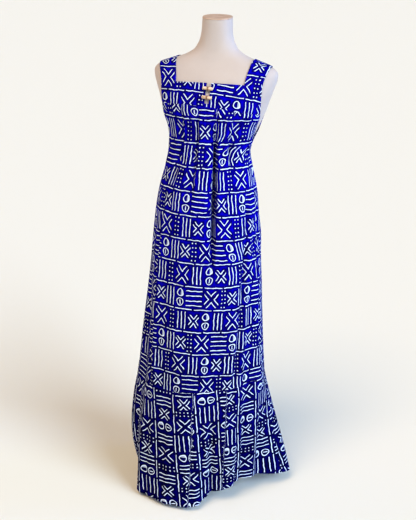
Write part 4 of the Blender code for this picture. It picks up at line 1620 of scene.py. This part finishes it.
@dataclass(frozen=True)
class PrintedCotton:
    """Plain-woven cotton with a mud-cloth style resist print: matte, the whites crisp."""

    open_blue: str = "0A00BE"
    deep_blue: str = "030048"
    white: str = "D2E3FF"
    stroke_half: float = 1.30
    stroke_play: float = 1.2  # millimetres that a stroke's half width varies by
    thin_fill: float = 0.40  # blue that shows through the filled half of a shell
    hem_painted_shade: float = 0.26  # painted shade: the blue is darker toward the hem, where the light falls off
    hem_white_painted_shade: float = 0.92  # and painted shade greys the white a little there
    hem_height: float = 0.10
    even_height: float = 1.05
    wander: float = 5.2  # millimetres that the lines wander by, both ways together
    thread: float = 0.0016  # real threads are 0.35 mm apart, drawn coarser to show
    weave_depth: float = 0.00022
    crumple_scale: float = 42.0
    crumple_depth: float = 0.0045

    def material(self) -> Material:
        """Node material of the printed cloth.

        Returns:
            The material.
        """
        material, tree, shader = new_finish("printed_cotton", 0.88, ior=1.47, specular=0.02)
        known = self.lay(tree, self.ground(tree), PLACE_STEPS)
        known = self.chart(tree, known)
        self.colour(tree, shader, self.lay(tree, known, (*STROKE_STEPS, *DYE_STEPS)))
        self.relief(tree, shader)
        return material

    def lay(self, tree: NodeTree, known: dict, steps: tuple) -> dict:
        """Add the sums of a table of steps.

        Args:
            tree: Node tree of the material.
            known: Sockets and numbers by name.
            steps: The sums.

        Returns:
            What is known, with the results of the steps.
        """
        known = dict(known)
        for step in steps:
            values = {place: known.get(value, value)
                      for place, value in enumerate(step.values)}
            node = add_node(tree, "ShaderNodeMath", values, operation=step.operation,
                            use_clamp=step.clamp)
            known[step.name] = node.outputs[0]
        return known

    def ground(self, tree: NodeTree) -> dict:
        """Place on the cloth in millimetres, uneven as a hand-cut block prints.

        Args:
            tree: Node tree of the material.

        Returns:
            What is known there, by name.
        """
        grain = add_node(tree, "ShaderNodeUVMap", uv_map=GRAIN)
        scaled = add_node(tree, "ShaderNodeVectorMath", {0: grain, SCALE_BY: MILLIMETRES},
                          operation="SCALE")
        uneven = {name: add_node(tree, "ShaderNodeTexNoise",
                                 {"Vector": scaled, "Scale": 1 / size, "Detail": detail},
                                 noise_dimensions="2D").outputs
                  for name, size, detail in GROUNDS}
        known = {name: outputs[0] for name, outputs in uneven.items()}
        push = add_node(tree, "ShaderNodeVectorMath",
                        {0: uneven["shift"]["Color"], 1: (0.5,) * 3}, operation="SUBTRACT")
        moved = add_node(tree, "ShaderNodeVectorMath",
                         {0: push, 1: (self.wander,) * 3, 2: scaled},
                         operation="MULTIPLY_ADD")
        parts = add_node(tree, "ShaderNodeSeparateXYZ", {0: moved})
        known.update(u=parts.outputs[0], v=parts.outputs[1], less_fill=-self.thin_fill,
                     least=self.stroke_half - self.stroke_play / 2)
        width = Step("half", "MULTIPLY_ADD", ("uneven", self.stroke_play, "least"))
        return self.lay(tree, known, (width,))

    def chart(self, tree: NodeTree, known: dict) -> dict:
        """Middle and number of the block that a place lies in.

        Args:
            tree: Node tree of the material.
            known: What is known, by name.

        Returns:
            What is known, with the block and its code.
        """
        steps = []
        for number, row in enumerate(CHART):
            steps += [Step(f"row_{number}", "COMPARE", ("kind", float(number), HALF_CODE)),
                      Step("along", "MULTIPLY_ADD", (f"row_{number}", row.start(), "along"))]
        steps += [Step("place", "FLOORED_MODULO", ("along", REPEAT)),
                  Step("share", "DIVIDE", ("place", REPEAT))]
        known = self.lay(tree, {**known, "along": known["u"]}, steps)
        known.update(block=0.0, code=0.0)
        steps = []
        for number, row in enumerate(CHART):
            ramp = add_node(tree, "ShaderNodeValToRGB", {0: known["share"]})
            ramp.color_ramp.interpolation = "CONSTANT"
            start = 0.0
            for index, motif in enumerate(row.blocks):
                stop = ramp.color_ramp.elements[0]
                if index:
                    stop = ramp.color_ramp.elements.new(start / REPEAT)
                middle = (start + 0.5 * row.span(motif)) / REPEAT
                stop.color = (middle, motif.value[0] / CODES, 0.0, 1.0)
                start += row.span(motif)
            ramp.color_ramp.elements.remove(ramp.color_ramp.elements[-1])
            parts = add_node(tree, "ShaderNodeSeparateColor", {0: ramp})
            for name, output in (("block", parts.outputs[0]), ("code", parts.outputs[1])):
                known[f"{name}_{number}"] = output
                values = (f"row_{number}", f"{name}_{number}", name)
                steps.append(Step(name, "MULTIPLY_ADD", values))
        steps.append(Step("code", "MULTIPLY", ("code", CODES)))
        return self.lay(tree, known, steps)

    def colour(self, tree: NodeTree, shader: Node, known: dict) -> None:
        """Blue that deepens beside the strokes, bluish white strokes, and painted shade that
        darkens the print toward the hem.

        Args:
            tree: Node tree of the material.
            shader: Its shader.
            known: What is known, by name.
        """
        where = add_node(tree, "ShaderNodeTexCoord").outputs["Object"]
        height = add_node(tree, "ShaderNodeSeparateXYZ", {0: where}).outputs[2]
        # Painted shade: the blue, and less the white, darken toward the hem, where the light
        # falls off
        rise = {"Value": height, "From Min": self.hem_height, "From Max": self.even_height}
        blue_painted_shade, print_painted_shade = (
            add_node(tree, "ShaderNodeMapRange", {**rise, "To Min": least},
                     interpolation_type=change)
            for least, change in ((self.hem_painted_shade, "SMOOTHSTEP"), (self.hem_white_painted_shade, "LINEAR")))
        blue = add_node(tree, "ShaderNodeMix",
                        {0: known["deep"], LOW_TONE: linear(self.open_blue),
                         HIGH_TONE: linear(self.deep_blue)}, data_type="RGBA")
        shaded_blue = add_node(tree, "ShaderNodeVectorMath",
                        {0: blue.outputs[MIXED_TONE], SCALE_BY: blue_painted_shade}, operation="SCALE")
        full = add_node(tree, "ShaderNodeMix",
                        {0: known["shown"], LOW_TONE: shaded_blue, HIGH_TONE: linear(self.white)},
                        data_type="RGBA")
        # Painted shade greys the whole print toward the hem
        printed = add_node(tree, "ShaderNodeVectorMath",
                           {0: full.outputs[MIXED_TONE], SCALE_BY: print_painted_shade},
                           operation="SCALE")
        tree.links.new(printed.outputs[0], shader.inputs["Base Color"])
        tree.links.new(known["roughness"], shader.inputs["Roughness"])

    def relief(self, tree: NodeTree, shader: Node) -> None:
        """Threads of the plain weave, over the faint crumple of washed cotton.

        Args:
            tree: Node tree of the material.
            shader: Its shader.
        """
        grain = add_node(tree, "ShaderNodeUVMap", uv_map=GRAIN)
        warp, weft = (add_node(tree, "ShaderNodeTexWave",
                               {"Vector": grain, "Scale": WAVE_SPAN / self.thread,
                                "Distortion": 0.6, "Detail": 1.0},
                               bands_direction=way) for way in ("X", "Y"))
        weave = add_node(tree, "ShaderNodeMath", {0: warp, 1: weft}, operation="MULTIPLY")
        crumple = add_node(tree, "ShaderNodeTexNoise",
                           {"Vector": grain, "Scale": self.crumple_scale, "Detail": 3.0,
                            "Roughness": 0.55}, noise_dimensions="2D")
        folds = add_node(tree, "ShaderNodeBump", {"Strength": 0.35, "Height": crumple,
                                                  "Distance": self.crumple_depth})
        threads = add_node(tree, "ShaderNodeBump",
                           {"Strength": 0.30, "Distance": self.weave_depth,
                            "Height": weave, "Normal": folds})
        tree.links.new(threads.outputs[0], shader.inputs["Normal"])


@dataclass(frozen=True)
class JerseyCover:
    """Fine cotton jersey stretched over the form: matte, with a soft sheen at its edges."""

    cream: str = "BDB6B3"
    shade: str = "B0A7A3"
    stitch: float = 0.0016  # real stitches are 0.7 mm, drawn coarser to show
    sheen: float = 0.15

    def material(self) -> Material:
        """Node material of the cover.

        Returns:
            The material.
        """
        material, tree, shader = new_finish("cotton_jersey", 0.74, specular=0.3)
        shader.inputs["Sheen Weight"].default_value = self.sheen
        where = add_node(tree, "ShaderNodeTexCoord").outputs["Object"]
        tone = add_node(tree, "ShaderNodeTexNoise",
                        {"Vector": where, "Scale": 14.0, "Detail": 4.0})
        knit = add_node(tree, "ShaderNodeTexWave",
                        {"Vector": where, "Scale": WAVE_SPAN / self.stitch,
                         "Distortion": 1.5, "Detail": 1.0}, bands_direction="Z")
        two_tones(tree, shader, tone, (self.cream, self.shade), knit, 0.25, 0.00025)
        return material


@dataclass(frozen=True)
class Wood:
    """Smooth wood: grain runs along its length, with a low satin gloss."""

    name: str
    light: str
    dark: str
    roughness: float
    grain: float  # spacing of the grain lines in metres
    along: tuple  # how much the grain is drawn out along X, Y and Z
    dark_from: float = 0.35  # lines of the grain darken from here on
    dark_full: float = 0.68

    def material(self) -> Material:
        """Node material of the wood.

        Returns:
            The material.
        """
        material, tree, shader = new_finish(self.name, self.roughness, specular=0.4)
        where = add_node(tree, "ShaderNodeTexCoord").outputs["Object"]
        drawn = add_node(tree, "ShaderNodeMapping", {"Vector": where, "Scale": self.along})
        lines = add_node(tree, "ShaderNodeTexNoise",
                         {"Vector": drawn, "Scale": 1.0 / self.grain, "Detail": 4.0,
                          "Distortion": 0.6})
        darker = add_node(tree, "ShaderNodeMapRange",
                          {"Value": lines, "From Min": self.dark_from,
                           "From Max": self.dark_full})
        two_tones(tree, shader, darker, (self.light, self.dark), lines, 0.2, 0.0002)
        return material


@dataclass(frozen=True)
class TwistedCotton:
    """Twisted cotton cord or thread: matte, its plies show as slanted bands."""

    name: str
    light: str
    dark: str
    ply: float  # spacing of the plies in metres

    def material(self) -> Material:
        """Node material of the cord.

        Returns:
            The material.
        """
        material, tree, shader = new_finish(self.name, 0.85, specular=0.2)
        where = add_node(tree, "ShaderNodeTexCoord").outputs["Object"]
        plies = add_node(tree, "ShaderNodeTexWave",
                         {"Vector": where, "Scale": WAVE_SPAN / self.ply,
                          "Distortion": 1.0}, bands_direction="DIAGONAL")
        two_tones(tree, shader, plies, (self.dark, self.light), plies, 0.5, 0.0003)
        return material


@dataclass(frozen=True)
class PowderCoatedSteel:
    """Powder-coated steel: an even satin coat with fine orange peel, scuffed on the base."""

    coat: str = "C9C6C1"
    scuff: str = "A9A59F"
    scuff_from: float = 0.62  # the higher, the fewer and smaller the scuffs
    scuff_full: float = 0.72
    peel: float = 0.0022  # spacing of the orange peel in metres

    def material(self) -> Material:
        """Node material of the stand.

        Returns:
            The material.
        """
        material, tree, shader = new_finish("powder_coated_steel", 0.42)
        where = add_node(tree, "ShaderNodeTexCoord").outputs["Object"]
        worn = add_node(tree, "ShaderNodeTexNoise",
                        {"Vector": where, "Scale": 55.0, "Detail": 6.0})
        spots = add_node(tree, "ShaderNodeMapRange",
                         {"Value": worn, "From Min": self.scuff_from,
                          "From Max": self.scuff_full})
        peel = add_node(tree, "ShaderNodeTexNoise",
                        {"Vector": where, "Scale": 1.0 / self.peel})
        two_tones(tree, shader, spots, (self.coat, self.scuff), peel, 0.2, 0.0002)
        return material


@dataclass(frozen=True)
class StudioPaper:
    """Warm white seamless paper under the part: matte, with no grain to see."""

    colour: str = "E4E9E6"

    def material(self) -> Material:
        """Node material of the floor.

        Returns:
            The material.
        """
        material, _, shader = new_finish("seamless_paper", 0.9, specular=0.1)
        shader.inputs["Base Color"].default_value = linear(self.colour)
        return material


def tube_parts(path: Array, radius: float, sides: int) -> tuple:
    """Points and faces of a round tube with closed ends.

    Args:
        path: Points of its centre line.
        radius: Half its thickness.
        sides: Facets round it.

    Returns:
        Vertices and faces.
    """
    tangent = unit(np.gradient(path, axis=0))
    turn = turns(sides)[:, None]
    beside = np.cross(tangent[0], NOT_ALONG)
    rings = []
    for point, way in zip(path, tangent):
        beside = unit(beside - way * np.dot(beside, way))
        over = np.cross(way, beside)
        rings.append(point + radius * (np.cos(turn) * beside + np.sin(turn) * over))
    return np.concatenate(rings), ring_faces(len(path), sides)


@dataclass
class Sewing:
    """All the dress's topstitching, gathered line by line and made as one joined mesh."""

    pitch: float = 0.0042
    length: float = 0.0028
    radius: float = 0.00034
    sides: int = 5
    stations: tuple = ((-0.5, 0.35), (-0.36, 0.85), (0.0, 1.0), (0.36, 0.85), (0.5, 0.35))
    rows: list = field(default_factory=list)

    def along(self, line: Array, normal: Array) -> None:
        """Lay a row of stitches on a line of points of a cloth.

        Args:
            line: Points on the cloth's outer face.
            normal: Its outward direction there.
        """
        length = run_length(line[:, None], 0)[:, 0]
        places = np.arange(self.pitch, length[-1] - self.pitch, self.pitch)
        at, up = (np.stack([np.interp(places, length, values[:, axis]) for axis in range(3)],
                           axis=-1) for values in (line, normal))
        up = unit(up)
        self.rows.append((at + up * 0.5 * self.radius, unit(np.gradient(at, axis=0)), up))

    def build(self, finish: Material) -> None:
        """Join all the stitches into one piece.

        Args:
            finish: Sewing thread.
        """
        at, ahead, up = (np.concatenate(part)[:, None] for part in zip(*self.rows))
        turn = -turns(self.sides)[:, None]
        across = np.cos(turn) * np.cross(ahead, up) + np.sin(turn) * up
        rings = [at + ahead * share * self.length + across * size * self.radius
                 for share, size in self.stations]
        faces = ring_faces(len(self.stations), self.sides)
        stitches = [(points, faces) for points in np.concatenate(rings, axis=1)]
        item = mesh_object("topstitching", *joined(stitches), finish)
        dress_piece(item, "printed_cotton")


# Outline of half a toggle: shares of its length from its middle, and of its radius
TOGGLE_OUTLINE = ((0.0, 0.70), (0.10, 0.92), (0.25, 1.00), (0.40, 0.95), (0.47, 0.72),
                  (0.50, 0.35))


@dataclass
class Toggle:
    """Turned toggle across the slit, bound at its waist with brown cord."""

    name: str
    node: str
    form: DressForm
    height: float
    length: float = 0.032
    radius: float = 0.0050
    tilt: float = 4.0
    cloth_off: float = 0.0040  # from the form to the outer face of the yoke
    gap: float = 0.0003
    sides: int = 36
    slit_half: float = 0.0065
    outline_cells: tuple = ((0.40, 14), (0.50, 10))
    cord: float = 0.00085  # half the thickness of its cord
    cord_sides: int = 8
    loops: tuple = ((-1.6, 1.0), (0.0, 1.0), (1.6, 1.0), (-0.8, 1.28), (0.9, 1.28))
    loop_steps: int = 33
    loop_slant: float = 0.0006
    tail_steps: int = 12
    tail_ends: tuple = (0.0012, 0.0098)  # the cord's tails, from the toggle's middle
    tail_seat: tuple = (0.62, 0.0002)  # share of the radius, and room past the gap
    tail_drop: float = 0.0012
    tail_turn: float = 1.4  # how soon the tails turn in behind the toggle

    def centre(self) -> Array:
        """Middle of the toggle, just clear of the yoke.

        Returns:
            The middle.
        """
        x = np.array((-self.slit_half, 0.0, self.slit_half))
        bases = self.form.at(x, np.full(3, self.height), Side.FRONT)
        seat = np.array((0.0, bases[:, 1].min(), self.height))
        return seat + self.form.normal(bases[1]) * (self.cloth_off + self.radius + self.gap)

    def profile(self) -> list:
        """Stations of its outline: shares of its length and of its radius.

        Returns:
            The stations, from end to end.
        """
        half = stretches(0.0, *self.outline_cells)
        size = SmoothTable(TOGGLE_OUTLINE).read(half)[0]
        return list(zip(np.concatenate((-half[:0:-1], half)),
                        np.concatenate((size[:0:-1], size))))

    def build(self, wood: Material, twine: Material) -> None:
        """Make the toggle and its binding.

        Args:
            wood: Finish of the toggle.
            twine: Brown cotton cord.
        """
        tilt = math.radians(self.tilt)
        along_way = np.array((math.cos(tilt), 0.0, -math.sin(tilt)))
        up_way = np.array((math.sin(tilt), 0.0, math.cos(tilt)))
        out_way = np.array((0.0, -1.0, 0.0))
        centre = self.centre()
        turn = turns(self.sides)[:, None]
        circle = np.cos(turn) * up_way + np.sin(turn) * out_way
        rings = [centre + along_way * along * self.length + circle * size * self.radius
                 for along, size in self.profile()]
        body = stack_object(self.name, rings[::-1], wood)
        dress_piece(body, "toggle_wood", self.node)
        turn = np.linspace(0.0, math.tau, self.loop_steps)[:, None]
        circle = np.cos(turn) * up_way + np.sin(turn) * out_way
        waist = TOGGLE_OUTLINE[0][1] * self.radius + self.cord
        paths = [centre + circle * waist * size
                 + (place * self.cord + self.loop_slant * np.sin(turn + place)) * along_way
                 for place, size in self.loops]
        share = np.linspace(0.0, 1.0, self.tail_steps)[:, None]
        seat, room = self.tail_seat
        behind = mix(self.radius * seat, self.radius + self.gap + room,
                     smooth_step(share * self.tail_turn))
        drop = self.tail_drop * np.sin(math.pi * share)
        paths += [centre + sign * mix(*self.tail_ends, share) * along_way
                  - behind * out_way - drop * up_way for sign in (-1, 1)]
        tubes = [tube_parts(path, self.cord, self.cord_sides) for path in paths]
        binding = mesh_object(self.name + "_binding", *joined(tubes), twine)
        dress_piece(binding, "toggle_wood")


@dataclass
class Stand:
    """Turned pole and flat cross base, which the hem hides: the solids with their finish."""

    nodes: tuple = ("stand_pole", "stand_base")

    def build(self, steel: Material) -> None:
        """Give the solids their finish.

        Args:
            steel: Powder-coated steel.
        """
        for name in self.nodes:
            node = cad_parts[name]
            node.data.materials.clear()
            node.data.materials.append(steel)


def direction(azimuth: float, elevation: float) -> Vector:
    """Unit direction from the part.

    Args:
        azimuth: Degrees round it, 0 in front of the dress and 90 at its +X side.
        elevation: Degrees above the floor.

    Returns:
        The direction.
    """
    turn, rise = math.radians(azimuth), math.radians(elevation)
    return Vector((math.sin(turn) * math.cos(rise), -math.cos(turn) * math.cos(rise),
                   math.sin(rise)))


class Lamp(NamedTuple):
    """Broad light, placed in degrees round the part (0 in front) and up from the floor."""

    name: str
    azimuth: float
    elevation: float
    strength: float
    colour: str  # sRGB hex value
    width: float  # degrees that it spreads over


LAMPS = (
    Lamp("key", 58.0, 31.0, 2.9, "DDEDFF", 38.0),
    Lamp("front", -20.0, 56.0, 1.9, "FFE0BC", 30.0),
    Lamp("cool_side", 108.0, 3.0, 2.2, "6AA6FF", 30.0),
    Lamp("warm_side", -100.0, 3.0, 0.45, "FF8438", 30.0),
)


@dataclass
class Studio:
    """Floor of pale paper, soft lights and the camera of the photograph."""

    azimuth: float = 12.0
    distance: float = 2.70
    eye_height: float = 1.66
    pitch: float = 18.0
    roll: float = 2.0
    focal_pixels: float = 870.0
    image_height: float = 520.0
    sensor: float = 36.0
    aside: float = -0.004  # the camera stands this much to its own right
    floor_size: float = 600.0
    wall_colour: str = "FAF8F3"
    wall_light: float = 0.885
    wall_share: float = 0.96
    wall_turn: float = 0.02  # the wall at +X is brighter by this, and the other dimmer
    ceiling_light: float = 0.10
    wall_top: float = 0.09  # sine of the elevation where the walls start to fade
    ceiling_from: float = 0.48

    def camera(self) -> None:
        """Camera at the photograph's angle."""
        turn, lean = math.radians(self.azimuth), math.radians(self.roll)
        ahead = -direction(self.azimuth, self.pitch)
        right = Vector((math.cos(turn), math.sin(turn), 0.0))
        up = right.cross(ahead)
        axis_x = right * math.cos(lean) + up * math.sin(lean)
        axis_y = up * math.cos(lean) - right * math.sin(lean)
        matrix = Matrix((axis_x, axis_y, -ahead)).transposed().to_4x4()
        matrix.translation = (direction(self.azimuth, 0.0) * self.distance
                              + Vector((0.0, 0.0, self.eye_height)) + right * self.aside)
        data = bpy.data.cameras.new("camera")
        data.lens = self.focal_pixels / self.image_height * self.sensor
        data.sensor_width = self.sensor
        data.clip_end = self.floor_size
        item = bpy.data.objects.new("camera", data)
        item.matrix_world = matrix
        bpy.context.scene.collection.objects.link(item)
        bpy.context.scene.camera = item

    def sun(self, lamp: Lamp) -> None:
        """Hang one of the lights.

        Args:
            lamp: The light.
        """
        data = bpy.data.lights.new(lamp.name, "SUN")
        data.energy = lamp.strength
        data.color = linear(lamp.colour)[:3]
        data.angle = math.radians(lamp.width)
        item = bpy.data.objects.new(lamp.name, data)
        item.rotation_mode = "QUATERNION"
        way = direction(lamp.azimuth, lamp.elevation)
        item.rotation_quaternion = way.to_track_quat("Z", "Y")
        bpy.context.scene.collection.objects.link(item)

    def world(self) -> None:
        """Pale walls all round, which fade into a dim ceiling."""
        world = bpy.data.worlds.new("studio")
        world.use_nodes = True
        tree = world.node_tree
        way = add_node(tree, "ShaderNodeTexCoord").outputs["Generated"]
        parts = add_node(tree, "ShaderNodeSeparateXYZ", {0: way})
        fade = add_node(tree, "ShaderNodeMapRange",
                        {"Value": parts.outputs[2], "From Min": self.wall_top,
                         "From Max": self.ceiling_from, "To Min": self.wall_light,
                         "To Max": self.ceiling_light},
                        interpolation_type="SMOOTHSTEP")
        side = add_node(tree, "ShaderNodeMath",
                        {0: parts.outputs[0], 1: self.wall_turn, 2: self.wall_share},
                        operation="MULTIPLY_ADD")
        light = add_node(tree, "ShaderNodeMath", {0: fade, 1: side}, operation="MULTIPLY")
        background = tree.nodes["Background"]
        background.inputs[0].default_value = linear(self.wall_colour)
        tree.links.new(light.outputs[0], background.inputs[1])
        bpy.context.scene.world = world

    def build(self, paper: Material) -> None:
        """Set up the floor, the lights and the camera.

        Args:
            paper: Finish of the floor.
        """
        corners = np.array(((-1, -1, 0), (1, -1, 0), (1, 1, 0), (-1, 1, 0)), float)
        floor = mesh_object("floor", corners * self.floor_size / 2, [[0, 1, 2, 3]], paper)
        self.camera()
        self.world()
        for lamp in LAMPS:
            self.sun(lamp)
        bpy.context.scene.view_settings.view_transform = "Standard"
        bpy.context.scene.view_settings.look = "Medium High Contrast"


def dress_panels(cut: DressCut) -> tuple:
    """The six panels of the dress, with their cut as laid flat.

    Args:
        cut: Sizes that the panels share.

    Returns:
        The panels, from the yokes down.
    """
    yoke = {"cut": cut, "held": "draped", "rests_on": ("torso_cover",), "flat": (0.36, 0.20),
            "cut_area": 0.040}
    skirt = {"cut": cut, "held": "gathered", "flat": (0.74, 0.95), "cut_area": 0.52}
    flounce = {"cut": cut, "held": "hung", "flat": (0.90, 0.42), "cut_area": 0.30}
    return (
        YokePanel("yoke_front_cloth", "yoke_front", side=Side.FRONT, neck_angle=10.0,
                  grain_at=(-0.051, -0.114), **yoke),
        YokePanel("yoke_back_cloth", "yoke_back", side=Side.BACK, neck_angle=14.0,
                  grain_at=(0.150, 0.040), **yoke),
        SkirtPanel("skirt_front_cloth", "skirt_front", side=Side.FRONT,
                   rests_on=("yoke_front_cloth", "torso_cover"), grain_at=(0.0, -0.0585),
                   hidden=((287.2, 3.0, 3.0, 0.016, 0.86), (258.6, -3.0, 3.0, 0.009, 0.98),
                           (311.2, 6.0, 3.0, 0.009, 1.02), (232.6, 0.0, 3.0, 0.009, 1.02)),
                   **skirt),
        SkirtPanel("skirt_back_cloth", "skirt_back", side=Side.BACK,
                   rests_on=("yoke_back_cloth", "torso_cover"), grain_at=(0.110, 0.030),
                   hidden=((72.0, -4.0, 3.0, 0.010, 0.90), (106.5, 3.0, 3.0, 0.011, 0.86)),
                   **skirt),
        FlouncePanel("flounce_front_cloth", "flounce_front", side=Side.FRONT,
                     rests_on=("skirt_front_cloth",), grain_at=(0.155, 0.232),
                     hidden=((273.2, 0.0725), (302.5, 0.0725)), lean=0.12, **flounce),
        FlouncePanel("flounce_back_cloth", "flounce_back", side=Side.BACK,
                     rests_on=("skirt_back_cloth",), grain_at=(0.090, 0.040), **flounce),
    )


def main() -> None:
    """Build the dress, its form, the stand and the studio."""
    logging.basicConfig(level=logging.INFO, format="%(name)s: %(message)s")
    form = DressForm()
    cotton = PrintedCotton().material()
    thread = TwistedCotton("sewing_thread", "2A1FB0", "150A78", 0.0012).material()
    twine = TwistedCotton("brown_cotton_cord", "A98770", "7C5B49", 0.0016).material()
    pale = Wood("pale_maple", "DDCBB6", "B99A7C", 0.42, 0.0030, (0.18, 1.0, 1.0)).material()
    capping = Wood("stained_beech", "C5B3A6", "AC9484", 0.55, 0.0070,
                   (0.25, 1.0, 1.0)).material()

    Studio().build(StudioPaper().material())
    form.build(JerseyCover().material(), capping)
    Stand().build(PowderCoatedSteel().material())
    sewing = Sewing()
    for panel in dress_panels(DressCut(form)):
        panel.build(cotton, sewing)
    sewing.build(thread)
    for name, height in (("toggle_upper", 1.3440), ("toggle_lower", 1.3195)):
        Toggle(name + "_turned", name, form, height).build(pale, twine)


if __name__ == "__main__":
    main()
